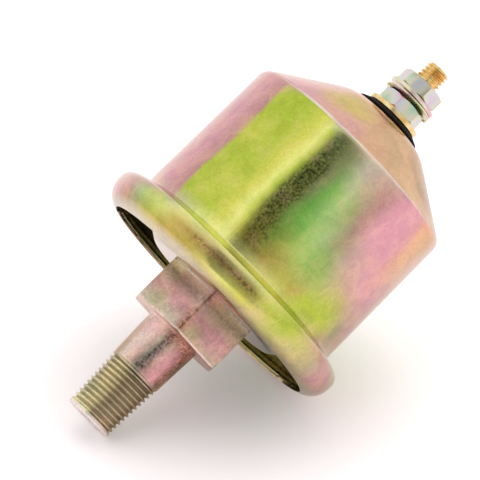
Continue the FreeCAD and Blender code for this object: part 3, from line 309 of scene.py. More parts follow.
# Yellow passivated zinc: the film is so thin that it shows interference colours, in bands around the axis
# that change with height, where the bath ran off. Some bands are painted light instead, noted at each table.
# Each zone is a height with its bands, each patch a cloud laid over them (azimuth, height, radius, size,
# colour, share). Half gloss, fine drawing lines. Grooves (root and crest radius at height 0, taper, start)
# are painted
# darker towards the root: painted shade. Where the film is dark, the grit shows as specks.
def yellow_zinc(name, zones, patches, blotches, blotch_share, gloss=(0.1, 0.24), lines=0.2, grain_depth=0.1,
                drift=3.0, shaded_grooves=None):
    material, tree, shader = new_material(name)
    place_on = add_node(tree, "ShaderNodeTexCoord").outputs["Object"]
    clouds = add_node(tree, "ShaderNodeTexNoise", {"Vector": place_on, "Scale": 1 / (9 * MM), "Detail": 4.0})
    centred = add_node(tree, "ShaderNodeVectorMath", {0: clouds.outputs["Color"], 1: (-0.5, -0.5, -0.5)})
    shift = add_node(tree, "ShaderNodeVectorMath", {0: centred.outputs[0],
                                                   1: (drift * MM, drift * MM, drift * 0.2 * MM)},
                     operation="MULTIPLY")
    moved = add_node(tree, "ShaderNodeVectorMath", {0: place_on, 1: shift.outputs[0]})
    parts = add_node(tree, "ShaderNodeSeparateXYZ", {0: moved.outputs[0]})
    front = add_node(tree, "ShaderNodeMath", {0: parts.outputs["Y"], 1: -1.0}, operation="MULTIPLY")
    angle = add_node(tree, "ShaderNodeMath", {0: parts.outputs["X"], 1: front.outputs[0]},
                     operation="ARCTAN2")
    share = add_node(tree, "ShaderNodeMapRange", {0: angle.outputs[0], 1: -math.pi, 2: math.pi, 3: 0.0,
                                                  4: 1.0})
    film = None
    for height, bands in zones:
        ramp = add_node(tree, "ShaderNodeValToRGB", {0: share.outputs[0]})
        set_stops(ramp, [(around(degrees), FILM[colour]) for degrees, colour in bands])
        if film is None:
            film = ramp.outputs["Color"]
        else:
            climb = add_node(tree, "ShaderNodeMapRange", {0: parts.outputs["Z"], 1: before * MM,
                                                          2: height * MM, 3: 0.0, 4: 1.0})
            film = add_node(tree, "ShaderNodeMix", {0: climb.outputs[0], 6: film, 7: ramp.outputs["Color"]},
                            data_type="RGBA").outputs[2]
        before = height
    for azimuth, height, reach, size, colour, strength in patches:
        turned = math.radians(azimuth)
        centre = (reach * math.sin(turned) * MM, -reach * math.cos(turned) * MM, height * MM)
        apart = add_node(tree, "ShaderNodeVectorMath", {0: moved.outputs[0], 1: centre},
                         operation="DISTANCE")
        cloud = add_node(tree, "ShaderNodeMapRange", {0: apart.outputs["Value"], 1: size * MM,
                                                      2: size * 0.35 * MM, 3: 0.0, 4: strength})
        film = add_node(tree, "ShaderNodeMix", {0: cloud.outputs[0], 6: film, 7: linear(FILM[colour])},
                        data_type="RGBA").outputs[2]
    spots = add_node(tree, "ShaderNodeTexNoise", {"Vector": place_on, "Scale": 1 / (4 * MM), "Detail": 7.0,
                                                 "Roughness": 0.66, "Distortion": 0.6})
    spot_colour = add_node(tree, "ShaderNodeValToRGB", {0: spots.outputs["Fac"]})
    set_stops(spot_colour, [(spot, FILM[colour]) for spot, colour in blotches])
    spot_share = add_node(tree, "ShaderNodeMapRange", {0: spots.outputs["Fac"], 1: 0.46, 2: 0.66, 3: 0.0,
                                                       4: blotch_share})
    coloured = add_node(tree, "ShaderNodeMix", {0: spot_share.outputs[0], 6: film,
                                                7: spot_colour.outputs["Color"]}, data_type="RGBA")
    grit = add_node(tree, "ShaderNodeTexNoise", {"Vector": place_on, "Scale": 1 / (0.5 * MM), "Detail": 4.0,
                                                "Roughness": 0.7})
    grain = add_node(tree, "ShaderNodeMapRange", {0: grit.outputs["Fac"], 1: 0.3, 2: 0.7,
                                                  3: 1.0 - grain_depth, 4: 1.0 + grain_depth})
    mottle = add_node(tree, "ShaderNodeMapRange", {0: spots.outputs["Fac"], 1: 0.35, 2: 0.65,
                                                   3: 1.0 - grain_depth, 4: 1.0 + grain_depth})
    depth = add_node(tree, "ShaderNodeMath", {0: grain.outputs[0], 1: mottle.outputs[0]},
                     operation="MULTIPLY")
    bright = add_node(tree, "ShaderNodeRGBToBW", {0: coloured.outputs[2]})
    dark = add_node(tree, "ShaderNodeMapRange", {0: bright.outputs[0], 1: 0.35, 2: 0.16, 3: 0.0, 4: 1.0})
    specks = add_node(tree, "ShaderNodeMapRange", {0: grit.outputs["Fac"], 1: 0.4, 2: 0.6, 3: 0.35, 4: 1.65})
    coarse = add_node(tree, "ShaderNodeMix", {0: dark.outputs[0], 2: 1.0, 3: specks.outputs[0]},
                      data_type="FLOAT")
    depth = add_node(tree, "ShaderNodeMath", {0: depth.outputs[0], 1: coarse.outputs[0]},
                     operation="MULTIPLY")
    # The thread is painted darker towards its roots: painted shade in the grooves.
    if shaded_grooves:
        inner, outer, taper, start = shaded_grooves
        flat = add_node(tree, "ShaderNodeVectorMath", {0: place_on, 1: (1, 1, 0)}, operation="MULTIPLY")
        reach = add_node(tree, "ShaderNodeVectorMath", {0: flat.outputs[0]}, operation="LENGTH")
        level = add_node(tree, "ShaderNodeSeparateXYZ", {0: place_on})
        even = add_node(tree, "ShaderNodeMath", {0: level.outputs["Z"], 1: -taper,
                                                 2: reach.outputs["Value"]}, operation="MULTIPLY_ADD")
        root_shade = add_node(tree, "ShaderNodeMapRange", {0: even.outputs[0], 1: inner * MM, 2: outer * MM,
                                                     3: 0.1, 4: 1.0})
        past = add_node(tree, "ShaderNodeMapRange", {0: level.outputs["Z"], 1: start * MM,
                                                     2: (start + 0.2) * MM, 3: 1.0, 4: 0.0})
        unshaded_share = add_node(tree, "ShaderNodeMath", {0: root_shade.outputs[0], 1: past.outputs[0]},
                         operation="MAXIMUM")
        coloured = add_node(tree, "ShaderNodeMix", {0: unshaded_share.outputs[0], 6: linear(FILM["painted_shade_walnut"]),
                                                   7: coloured.outputs[2]}, data_type="RGBA")
    shaded = add_node(tree, "ShaderNodeMix", {0: 1.0, 6: coloured.outputs[2], 7: depth.outputs[0]},
                      data_type="RGBA", blend_type="MULTIPLY")
    tree.links.new(shaded.outputs[2], shader.inputs["Base Color"])
    rough = add_node(tree, "ShaderNodeMapRange", {0: grit.outputs["Fac"], 1: 0.3, 2: 0.7, 3: gloss[0],
                                                  4: gloss[1]})
    tree.links.new(rough.outputs[0], shader.inputs["Roughness"])
    stretched = add_node(tree, "ShaderNodeMapping", {"Vector": place_on, "Scale": (1.0, 1.0, 0.06)})
    drawn = add_node(tree, "ShaderNodeTexNoise", {"Vector": stretched.outputs[0], "Scale": 1 / (0.35 * MM),
                                                 "Detail": 3.0})
    bump = add_node(tree, "ShaderNodeBump", {"Strength": lines, "Distance": 0.03 * MM,
                                             "Height": drawn.outputs["Fac"]})
    pits = add_node(tree, "ShaderNodeBump", {"Strength": lines, "Distance": 0.03 * MM,
                                             "Height": grit.outputs["Fac"], "Normal": bump.outputs[0]})
    tree.links.new(pits.outputs[0], shader.inputs["Normal"])
    shader.inputs["Metallic"].default_value = 1.0
    return material


# Plain metals: a soft tint over the metal's own colour, with cutting or rolling marks.
def worked_metal(name, colours, gloss, mark_size, mark_stretch=(1.0, 1.0, 1.0), mark_strength=0.1,
                 tint_size=4.0, tint_detail=5.0):
    material, tree, shader = new_material(name)
    place_on = add_node(tree, "ShaderNodeTexCoord").outputs["Object"]
    tint = add_node(tree, "ShaderNodeTexNoise", {"Vector": place_on, "Scale": 1 / (tint_size * MM),
                                                "Detail": tint_detail, "Roughness": 0.6})
    colour = add_node(tree, "ShaderNodeValToRGB", {0: tint.outputs["Fac"]})
    set_stops(colour, colours)
    tree.links.new(colour.outputs["Color"], shader.inputs["Base Color"])
    stretched = add_node(tree, "ShaderNodeMapping", {"Vector": place_on, "Scale": mark_stretch})
    marks = add_node(tree, "ShaderNodeTexNoise", {"Vector": stretched.outputs[0],
                                                  "Scale": 1 / (mark_size * MM), "Detail": 4.0,
                                                  "Roughness": 0.65})
    rough = add_node(tree, "ShaderNodeMapRange", {0: marks.outputs["Fac"], 1: 0.3, 2: 0.7, 3: gloss[0],
                                                  4: gloss[1]})
    tree.links.new(rough.outputs[0], shader.inputs["Roughness"])
    bump = add_node(tree, "ShaderNodeBump", {"Strength": mark_strength, "Distance": 0.04 * MM,
                                            "Height": marks.outputs["Fac"]})
    tree.links.new(bump.outputs[0], shader.inputs["Normal"])
    shader.inputs["Metallic"].default_value = 1.0
    return material


# Dull materials of the insulating and sealing pieces: moulded plastic, laminated board, rubber.
def dull_material(name, colours, roughness, grain_size, grain_strength, index=1.5):
    material, tree, shader = new_material(name)
    place_on = add_node(tree, "ShaderNodeTexCoord").outputs["Object"]
    grain = add_node(tree, "ShaderNodeTexNoise", {"Vector": place_on, "Scale": 1 / (grain_size * MM),
                                                  "Detail": 5.0, "Roughness": 0.6})
    colour = add_node(tree, "ShaderNodeValToRGB", {0: grain.outputs["Fac"]})
    set_stops(colour, colours)
    tree.links.new(colour.outputs["Color"], shader.inputs["Base Color"])
    bump = add_node(tree, "ShaderNodeBump", {"Strength": grain_strength, "Distance": 0.05 * MM,
                                            "Height": grain.outputs["Fac"]})
    tree.links.new(bump.outputs[0], shader.inputs["Normal"])
    shader.inputs["Roughness"].default_value = roughness
    shader.inputs["IOR"].default_value = index
    return material


# Colours of the film, and of light painted onto it. They come from the photograph: its colour was read at a
# net of heights and azimuths, the light was divided out, and each place was put down under one of these
# names. The zone tables below follow that net, with stops moved or renamed where the render differed from the
# photograph.
# The back, which the photograph doesn't show, is made up to suit. Some names paint reflection, shade and
# highlights instead of film colour; the tables note each place.
FILM = {
    "rose": "#E4A5B0", "pink": "#D8A9A6", "dusk": "#C6948F", "shell": "#DDB7A8", "peach": "#E9B593",
    "sand": "#DDB487", "tan": "#C9AD88", "lime": "#B6C748", "leaf": "#8FCB62", "pale_leaf": "#C4DB92",
    "moss": "#A9AC76", "gold": "#D8D660", "straw": "#E8EA86", "ochre": "#C4AE54", "painted_reflection_olive": "#70783E",
    "umber": "#9C7A4C", "cream": "#D8CCB4", "clay": "#B98678", "brick": "#B07868", "cocoa": "#A07A60",
    "buff": "#BFAE94", "bone": "#F0D8CC", "khaki": "#B3A27C", "chalk": "#F4EEC8", "ash": "#D6CAB0",
    "amber": "#E2C66E", "painted_shade_walnut": "#80633C", "hay": "#D2C588", "pearl": "#F6ECE6", "lemon": "#F6F7A2",
    "mint": "#BEDCB6", "painted_shade_iron": "#857A72", "fern": "#74B44E", "painted_reflection_sage": "#8C9660", "toffee": "#B58A58",
    "honey": "#FFEEC0", "painted_reflection_mustard": "#938A41",
}
LEFT_BANDS = ((-180, "rose"), (-165, "peach"), (-140, "gold"), (-125, "lime"), (-108, "shell"),
              (-74, "pink"), (-64, "rose"), (-51.5, "dusk"), (-49.5, "lime"), (-30, "lime"), (-23, "gold"),
              (-18, "straw"))
RIGHT_BANDS = ((100, "sand"), (118, "lime"), (130, "leaf"), (144, "gold"), (160, "dusk"), (180, "rose"))
# A thin pale line around the bend between wall and cone: a painted highlight.
CORNER_HIGHLIGHT_BANDS = ((-180, "shell"), (-62, "shell"), (-44, "bone"), (-24, "pearl"), (30, "bone"), (60, "shell"),
                (180, "shell"))
CAN_FILM_AND_PAINTED_LIGHT_ZONES = (
    (18.9, ((-180, "tan"), (-78, "buff"), (-54, "cream"), (-22, "cream"), (-4, "khaki"), (30, "khaki"),
            (70, "khaki"), (180, "tan"))),
    (20.2, ((-180, "tan"), (-80, "pink"), (-66, "clay"), (-56, "moss"), (-44, "ochre"), (-20, "ochre"),
            (-5, "straw"), (8, "gold"), (18, "hay"), (42, "hay"), (56, "buff"), (62, "dusk"), (84, "clay"),
            (180, "tan"))),
    (22.5, ((-180, "tan"), (-80, "shell"), (-64, "pink"), (-55, "pale_leaf"), (-43, "lemon"),
            # Here the rim is painted darker from about -18 to +9 degrees: a painted reflection of the dark
            # gap in front.
            (-32, "ochre"), (-18, "umber"), (-8, "umber"), (1, "painted_shade_walnut"), (9, "painted_shade_walnut"), (17, "gold"),
            (30, "lime"), (44, "hay"), (56, "buff"), (66, "dusk"), (80, "tan"), (180, "tan"))),
    (24.8, ((-180, "tan"), (-74, "cream"), (-54, "pink"), (-44, "cream"), (-32, "lemon"), (6, "lemon"),
            (20, "straw"), (32, "lime"), (44, "tan"), (56, "clay"), (68, "cream"), (180, "tan"))),
    # From 28.6 to 54.8 the wall is painted dark from about -15 to 0 degrees: a painted reflection of the dark
    # gap in front.
    (28.6, LEFT_BANDS + ((-14, "gold"), (-9, "painted_reflection_mustard"), (-1, "painted_reflection_mustard"), (5, "ochre"), (15, "gold"),
                         (24, "ochre"), (31, "lime"), (48, "lime"), (60, "moss"),
                         (74, "dusk")) + RIGHT_BANDS),
    (38.0, LEFT_BANDS + ((-15, "lime"), (-12, "painted_reflection_olive"), (-5, "painted_reflection_olive"), (0, "fern"), (9, "leaf"),
                         (17, "pale_leaf"), (24, "moss"), (32, "buff"), (44, "pink"), (56, "rose"),
                         (74, "pink")) + RIGHT_BANDS),
    (46.0, LEFT_BANDS + ((-15, "lime"), (-12, "painted_reflection_olive"), (-6, "painted_reflection_olive"), (-3, "moss"), (3, "leaf"),
                         (10, "pale_leaf"), (17, "moss"), (24, "dusk"), (32, "rose"), (50, "rose"),
                         (58, "peach"), (74, "shell")) + RIGHT_BANDS),
    (53.0, LEFT_BANDS + ((-15, "lime"), (-11, "painted_reflection_sage"), (-7, "painted_reflection_sage"), (0, "moss"), (8, "cream"),
                         (16, "shell"), (24, "dusk"), (34, "rose"), (46, "rose"), (56, "peach"),
                         (66, "sand"), (76, "shell")) + RIGHT_BANDS),
    (54.8, LEFT_BANDS + ((-16, "pale_leaf"), (-8, "moss"), (0, "buff"), (8, "cream"), (24, "shell"),
                         (34, "rose"), (46, "rose"), (56, "peach"), (76, "shell")) + RIGHT_BANDS),
    # The painted highlight line on the corner bend.
    (55.05, CORNER_HIGHLIGHT_BANDS),
    (55.2, CORNER_HIGHLIGHT_BANDS),
    (55.55, ((-180, "peach"), (-72, "shell"), (-36, "rose"), (-6, "peach"), (30, "sand"), (70, "tan"),
             (180, "peach"))),
    (58.0, ((-180, "peach"), (-72, "shell"), (-36, "peach"), (-6, "peach"), (6, "sand"), (30, "sand"),
            (46, "toffee"), (84, "toffee"), (110, "shell"), (180, "peach"))),
    (62.5, ((-180, "peach"), (-60, "shell"), (-40, "sand"), (-10, "peach"), (20, "sand"), (42, "toffee"),
            (90, "toffee"), (120, "buff"), (180, "peach"))),
)
CAN_BLOTCHES = ((0.3, "ochre"), (0.5, "gold"), (0.62, "sand"), (0.8, "dusk"))
CAN_PATCHES = (
    (-27, 60.0, 14.5, 6.0, "amber", 0.95), (-50, 56.5, 19.5, 5.0, "rose", 0.7),
    (-14, 56.6, 19.5, 4.5, "rose", 0.5), (6, 57.0, 18.5, 4.5, "peach", 0.7),
    (22, 34.0, 22.6, 5.5, "leaf", 0.5), (46, 29.5, 22.6, 6.0, "lime", 0.6),
    (-44, 44.0, 22.6, 5.0, "gold", 0.5), (-36, 33.0, 22.6, 6.0, "gold", 0.4),
    (12, 29.5, 22.6, 4.0, "umber", 0.35), (150, 40.0, 22.6, 9.0, "leaf", 0.5),
    (-130, 34.0, 22.6, 9.0, "rose", 0.5), (170, 59.0, 15.5, 7.0, "amber", 0.7),
    (-46, 22.5, 26.5, 5.0, "lime", 0.5), (26, 22.0, 26.5, 5.0, "lime", 0.5),
    (62, 21.5, 26.5, 5.0, "rose", 0.4),
)
FITTING_FILM_AND_PAINTED_LIGHT_ZONES = (
    (-12.1, ((-180, "pearl"), (180, "pearl"))),
    (-11.6, ((-180, "chalk"), (-12, "chalk"), (0, "ash"), (50, "ash"), (64, "khaki"), (180, "chalk"))),
    (-1.0, ((-180, "chalk"), (-62, "ash"), (-45, "chalk"), (-10, "chalk"), (4, "ash"), (48, "ash"),
            (66, "khaki"), (180, "chalk"))),
    # On the neck, from about -10 to +4 degrees, the grey band is a painted reflection of the dark gap in
    # front.
    (0.5, ((-180, "bone"), (-70, "tan"), (-46, "bone"), (-26, "shell"), (-10, "painted_shade_iron"), (3, "painted_shade_iron"),
           (16, "dusk"), (36, "rose"), (50, "clay"), (62, "cocoa"), (100, "tan"), (180, "bone"))),
    (6.5, ((-180, "shell"), (-72, "buff"), (-60, "shell"), (-44, "bone"), (-32, "bone"), (-18, "shell"),
           (-10, "ash"), (-4, "painted_shade_iron"), (4, "painted_shade_iron"), (14, "buff"), (32, "dusk"), (48, "brick"),
           (64, "cocoa"), (100, "clay"), (180, "shell"))),
    # Just under the hexagon the neck is painted brick from 0 to 60 degrees: painted shade under its bottom
    # face.
    (9.58, ((-180, "shell"), (-60, "bone"), (-20, "shell"), (0, "brick"), (60, "brick"), (180, "shell"))),
    # The hexagon's bottom edge is painted pale all round: a painted highlight.
    (9.62, ((-180, "bone"), (180, "bone"))),
    (9.85, ((-180, "bone"), (180, "bone"))),
    # A thin dark line at 0 degrees follows the hexagon's front corner: painted shade.
    (10.1, ((-180, "buff"), (-54, "cream"), (-10, "cream"), (-2, "clay"), (0, "painted_shade_walnut"), (2, "clay"),
            (10, "khaki"), (40, "buff"), (60, "buff"), (180, "buff"))),
    (14.0, ((-180, "dusk"), (-50, "dusk"), (-8, "dusk"), (-2, "clay"), (0, "cocoa"), (2, "dusk"),
            (60, "dusk"), (180, "dusk"))),
    # Up to the hexagon's top edge the bands turn pale, honey then pearl: a painted highlight along that edge.
    # The cocoa at 0 degrees is the painted shade of the corner line.
    (18.75, ((-180, "shell"), (-60, "honey"), (-48, "honey"), (-36, "shell"), (-2, "bone"), (0, "cocoa"),
             (2, "bone"), (14, "honey"), (62, "honey"), (180, "bone"))),
    (18.88, ((-180, "pearl"), (180, "pearl"))),
)
FITTING_PATCHES = (
    (-40, 11.5, 10.0, 3.0, "moss", 0.5), (-20, 13.5, 10.0, 2.5, "rose", 0.35),
    (12, 11.0, 10.5, 2.0, "moss", 0.4), (40, 13.0, 10.0, 3.5, "rose", 0.4),
    (-40, 7.5, 5.6, 2.5, "rose", 0.35), (30, 5.0, 5.5, 3.0, "rose", 0.4),
)
PLATE_FILM_AND_PAINTED_SHADE_ZONES = (
    # From about 20 to 110 degrees the plate is painted dark: a painted reflection of the shaded floor.
    (19.3, ((-180, "buff"), (-30, "cream"), (-12, "buff"), (0, "clay"), (22, "clay"), (30, "painted_shade_iron"),
            (110, "painted_shade_iron"), (180, "buff"))),
    (20.2, ((-180, "mint"), (180, "mint"))),
)
FITTING_BLOTCHES = ((0.35, "moss"), (0.52, "clay"), (0.7, "shell"), (0.85, "bone"))

# Drawn steel sheet, yellow passivated: strong bands, half gloss, the fine grit of the draw in the dark band,
# which is a painted reflection of the dark gap in front
can_zinc = yellow_zinc("yellow_passivated_drawn_steel", CAN_FILM_AND_PAINTED_LIGHT_ZONES, CAN_PATCHES, CAN_BLOTCHES, 0.24)
# Turned steel, yellow passivated: duller and rosier than the sheet, with painted shade in the thread roots, a
# painted reflection on the neck and painted highlights and shade on the hexagon's edges
fitting_zinc = yellow_zinc("yellow_passivated_turned_steel", FITTING_FILM_AND_PAINTED_LIGHT_ZONES, FITTING_PATCHES,
                           FITTING_BLOTCHES, 0.35, gloss=(0.3, 0.46), lines=0.2, grain_depth=0.22,
                           drift=0.5, shaded_grooves=(THREAD_CREST - 0.61, THREAD_CREST - 0.35, THREAD_TAPER,
                                               TIP + 0.1))
# Rolled steel sheet, yellow passivated and hardly touched: smooth and pale, with painted shade on its right
# side
plate_zinc = yellow_zinc("yellow_passivated_plate", PLATE_FILM_AND_PAINTED_SHADE_ZONES, (), FITTING_BLOTCHES, 0.2,
                         gloss=(0.05, 0.14), lines=0.05)
# Bare pressed steel inside the can: plain grey, satin
steel = worked_metal("pressed_steel", [(0.35, "#8C8E90"), (0.65, "#A6A7A8")], (0.3, 0.45), 0.3)
# Clear passivated zinc: bright, with pale green, straw, blue and pink clouds
nut_zinc = worked_metal("clear_passivated_zinc", [(0.26, "#A0CEB6"), (0.4, "#C8D8BC"), (0.5, "#E0DAC0"),
                                                  (0.6, "#D4D8DC"), (0.74, "#EABCC8")], (0.14, 0.28), 0.3,
                        tint_size=3.6, tint_detail=0.5)
# Lightly yellow passivated spring steel: straw to pink, satin
washer_zinc = worked_metal("yellow_passivated_spring_steel", [(0.4, "#E6E4BE"), (0.5, "#F4E6DA"),
                                                              (0.6, "#E8C4C0")], (0.2, 0.35), 0.3,
                           tint_size=3.0, tint_detail=1.0)
# Turned brass: glossy, lighter and darker along the turning marks
brass = worked_metal("turned_brass", [(0.35, "#E0B468"), (0.5, "#F0D090"), (0.65, "#FAEAB8")], (0.12, 0.24),
                     0.25, mark_stretch=(0.2, 0.2, 3.0), tint_size=2.0)
# Rolled spring bronze: reddish, satin
bronze = worked_metal("rolled_spring_bronze", [(0.35, "#B07C48"), (0.65, "#CC9A60")], (0.25, 0.4), 0.3)
# Moulded black plastic: dull, a fine grain
black_plastic = dull_material("moulded_black_plastic", [(0.35, "#100B0D"), (0.65, "#1A1216")], 0.7, 0.4,
                              0.15, index=1.25)
# Laminated insulating board: brown, faint fibres
card_board = dull_material("laminated_board", [(0.35, "#5A3A20"), (0.65, "#7A5230")], 0.55, 0.6, 0.2)
# Moulded rubber: black, matt
rubber = dull_material("moulded_rubber", [(0.35, "#141414"), (0.65, "#202020")], 0.7, 0.3, 0.2)
# Drawn resistance wire: warm grey, satin
wire_metal = worked_metal("resistance_wire", [(0.35, "#8E8478"), (0.65, "#A89C8C")], (0.25, 0.4), 0.2)

SLOT_MATERIALS = {
    "zinc_steel": can_zinc,
    "zinc_fitting": fitting_zinc,
    "base_zinc": plate_zinc,
    "plain_steel": steel,
    "nut_zinc": nut_zinc,
    "spring_zinc": washer_zinc,
    "brass": brass,
    "bronze": bronze,
    "black_insulator": black_plastic,
    "card_board": card_board,
    "seal_rubber": rubber,
    "resistance_wire": wire_metal,
}


# Pieces

def make_can():
    """Deep drawn can with crimped rim: the turned outer face gets its sheet, and the mouth is cut out."""
    top = high("housing_can")
    thickness = 0.8
    rim_top = top - 40.15
    waist = top - 38.72
    corner = top - 9.65
    waist_radius = RIM - 4.2
    corner_radius = RIM - 4.5
    mouth_radius = RIM - 3.4
    flat_radius = 8.3
    can = turned_piece("can", [
        (RIM - 5.6, LIP),
        (RIM, LIP, RIM_BEND),
        (RIM, rim_top, 2.0),
        (waist_radius, waist, 0.6),
        (corner_radius, corner, 2.1),
        (flat_radius, top, 10.0),
        (TOP_HOLE, top),
    ], closed=False)
    sheet = can.modifiers.new("sheet", "SOLIDIFY")
    sheet.thickness = thickness * MM
    sheet.offset = -1
    sheet.use_even_offset = True
    pick(can)
    bpy.ops.object.modifier_apply(modifier=sheet.name)
    mouth = turned_piece("mouth", [
        (0, LIP - 1), (mouth_radius, LIP - 1), (mouth_radius, LIP + 2 * thickness), (0, LIP + 2 * thickness),
    ])
    combine(can, mouth, "DIFFERENCE")
    soften_edges(can, 0.12, 60)
    smooth(can, 40)
    place(can, "housing", "zinc_steel", can_zinc, "housing_can")


def make_base_plate():
    """Pressed plate: the middle stands out against the hexagon, the bend of the rim holds the flange."""
    face = low("base_plate")
    back = high("base_plate")
    sheet = 1.0
    flange = back - sheet
    bore = 6.0
    outer = 25.96
    plate = turned_piece("pressed_plate", [
        (bore, face),
        (14.4, face, 2.0),
        (16.8, flange, 1.0),
        (outer, flange, 0.8),
        (outer, back, 0.1),
        (16.5, back, 2.0),
        (14.1, face + sheet, 1.0),
        (bore, face + sheet),
    ])
    smooth(plate, 40)
    place(plate, "housing", "base_zinc", plate_zinc, "base_plate")


def make_fitting():
    """Hexagon with broken edges, neck, tapered thread, staked shank and oil passage."""
    flats = 19.0
    neck = 9.6
    hex_top = low("base_plate")
    top = high("pressure_fitting")
    corner = flats / math.sqrt(3)
    shank_radius = 6.0
    bore = 2.0
    fitting = hexagon_bar("hexagon_fitting", flats, neck, hex_top, edge=0.18)
    blank = turned_piece("hexagon_blank", [
        (0, neck), (corner - 0.5, neck), (corner + 0.05, neck + 0.3), (corner + 0.05, hex_top - 0.15),
        (corner - 0.25, hex_top), (0, hex_top),
    ])
    combine(fitting, blank, "INTERSECT")
    soften_edges(fitting, 0.17, 50)
    shank = turned_piece("shank_blank", [
        (0, -0.6), (5.0, -0.6), (5.3, 0), (5.65, neck - 0.3, 0.3), (5.95, neck + 0.1),
        (shank_radius, hex_top + 1.0), (shank_radius + 1.0, hex_top + 1.0), (shank_radius, top), (0, top),
    ])
    combine(fitting, shank, "UNION")
    threaded = thread("taper_thread", TIP, 0, THREAD_CREST, 1.0, 0.58, taper=THREAD_TAPER)
    envelope = turned_piece("thread_blank", [
        (0, TIP), (4.4, TIP, 0.15), (4.83, TIP + 0.4, 0.2), (THREAD_CREST - 0.01, -0.25), (5.0, 0.1),
        (0, 0.1),
    ])
    combine(threaded, envelope, "INTERSECT")
    plain_end = turned_piece("plain_end", [
        (0, TIP), (4.5, TIP, 0.1), (4.74, TIP + 0.3, 0.15), (4.74, TIP + 0.8), (4.3, TIP + 1.0),
        (0, TIP + 1.0),
    ])
    combine(threaded, plain_end, "UNION")
    combine(fitting, threaded, "UNION")
    passage = turned_piece("passage", [
        (0, TIP - 1), (bore + 0.9, TIP - 1), (bore, TIP + 0.4), (bore, top + 1), (0, top + 1),
    ])
    combine(fitting, passage, "DIFFERENCE")
    smooth(fitting, 30)
    place(fitting, "housing", "zinc_fitting", fitting_zinc, "pressure_fitting")


def make_stud():
    """Brass terminal stud: round head inside, plain shank, thread from the brass washer up."""
    bottom = low("terminal_stud")
    top = high("terminal_stud")
    seat = high("outer_insulator")
    head = 4.2
    head_top = bottom + 1.4
    shank = 2.2
    crest = 2.4
    stud = turned_piece("threaded_stud", [
        (0, bottom), (head, bottom, 0.3), (head, head_top, 0.2), (shank, head_top), (shank, seat + 0.4),
        (0, seat + 0.4),
    ])
    threaded = thread("stud_thread", seat, top, crest, 0.8, 0.44, steps=48)
    envelope = turned_piece("stud_blank", [
        (0, seat), (crest - 0.3, seat), (crest, seat + 0.3), (crest, top - 0.5, 0.15),
        (crest - 0.5, top, 0.15), (0, top),
    ])
    combine(threaded, envelope, "INTERSECT")
    combine(stud, threaded, "UNION")
    smooth(stud, 30)
    place(stud, "housing", "brass", brass, "terminal_stud")


def make_nut(name, node, turn):
    """Thin hexagon nut, chamfered on both faces, its bore countersunk."""
    bottom, top = low(node), high(node)
    flats = 8.0
    corner = flats / math.sqrt(3)
    bore = 2.2
    mouth = 2.65
    nut = hexagon_bar(name, flats, bottom, top, turn=turn, edge=0.12)
    blank = turned_piece(name + "_blank", [
        (0, bottom), (corner - 0.55, bottom, 0.1), (corner + 0.02, bottom + 0.38, 0.15),
        (corner + 0.02, top - 0.38, 0.15), (corner - 0.55, top, 0.1), (0, top),
    ])
    combine(nut, blank, "INTERSECT")
    hole = turned_piece(name + "_hole", [
        (0, bottom - 1), (mouth, bottom - 1), (mouth, bottom), (bore, bottom + 0.45), (bore, top - 0.45),
        (mouth, top), (mouth, top + 1), (0, top + 1),
    ])
    combine(nut, hole, "DIFFERENCE")
    smooth(nut, 30)
    place(nut, "housing", "nut_zinc", nut_zinc, node)


def make_brass_washer():
    """Flat brass ring with well rounded rims."""
    bottom, top, outer = low("brass_washer"), high("brass_washer"), radius("brass_washer")
    ring = turned_piece("brass_ring", [
        (STUD_HOLE, bottom, 0.05), (outer, bottom, 0.35), (outer, top, 0.35), (STUD_HOLE, top, 0.05),
    ])
    smooth(ring, 40)
    place(ring, "housing", "brass", brass, "brass_washer")


def make_bowed_washer():
    """Washer of thin sheet, bent: it bears on the nut behind, its outer edge stands off the nut in front."""
    bottom, top, outer = low("flat_washer"), high("flat_washer"), radius("flat_washer")
    sheet = 0.34
    lift = top - bottom - sheet
    highest = math.radians(15)
    ring = turned_piece("bowed_washer", [
        (STUD_HOLE, bottom, 0.05), (outer, bottom, 0.12), (outer, bottom + sheet, 0.12),
        (STUD_HOLE, bottom + sheet, 0.05),
    ])
    for point in ring.data.vertices:
        azimuth = math.atan2(point.co.x, -point.co.y)
        reach = math.hypot(point.co.x, point.co.y) / MM
        outward = max(0.0, (reach - STUD_HOLE) / (outer - STUD_HOLE)) ** 0.5
        point.co.z += lift * MM * outward * max(0.0, math.cos(azimuth - highest)) ** 0.35
    smooth(ring, 40)
    place(ring, "housing", "nut_zinc", washer_zinc, "flat_washer")


def make_spring_washer():
    """Split ring of flat wire, the split leaning at the back. It lies a little tilted under the nut."""
    bottom, top, outer = low("spring_washer"), high("spring_washer"), radius("spring_washer")
    middle = 3.8
    gap = 0.5 / middle
    wire = 0.78
    tilt = (top - bottom - wire) * MM
    ring = turned_piece("split_washer", [
        (STUD_HOLE, bottom, 0.12), (outer, bottom, 0.18), (outer, bottom + wire, 0.18),
        (STUD_HOLE, bottom + wire, 0.12),
    ], angle=FULL_TURN - gap)
    lean = 1.0 / (top - bottom)
    for point in ring.data.vertices:
        spot = point.co.copy()
        turn = math.radians(90) + gap / 2 - lean * (spot.z - (bottom + wire / 2) * MM) / (middle * MM)
        point.co.x = spot.x * math.cos(turn) - spot.y * math.sin(turn)
        point.co.y = spot.x * math.sin(turn) + spot.y * math.cos(turn)
        point.co.z += tilt * (0.5 - 0.5 * math.sin(math.atan2(point.co.x, -point.co.y)))
    close_ends(ring)
    smooth(ring, 40)
    place(ring, "housing", "spring_zinc", washer_zinc, "spring_washer")


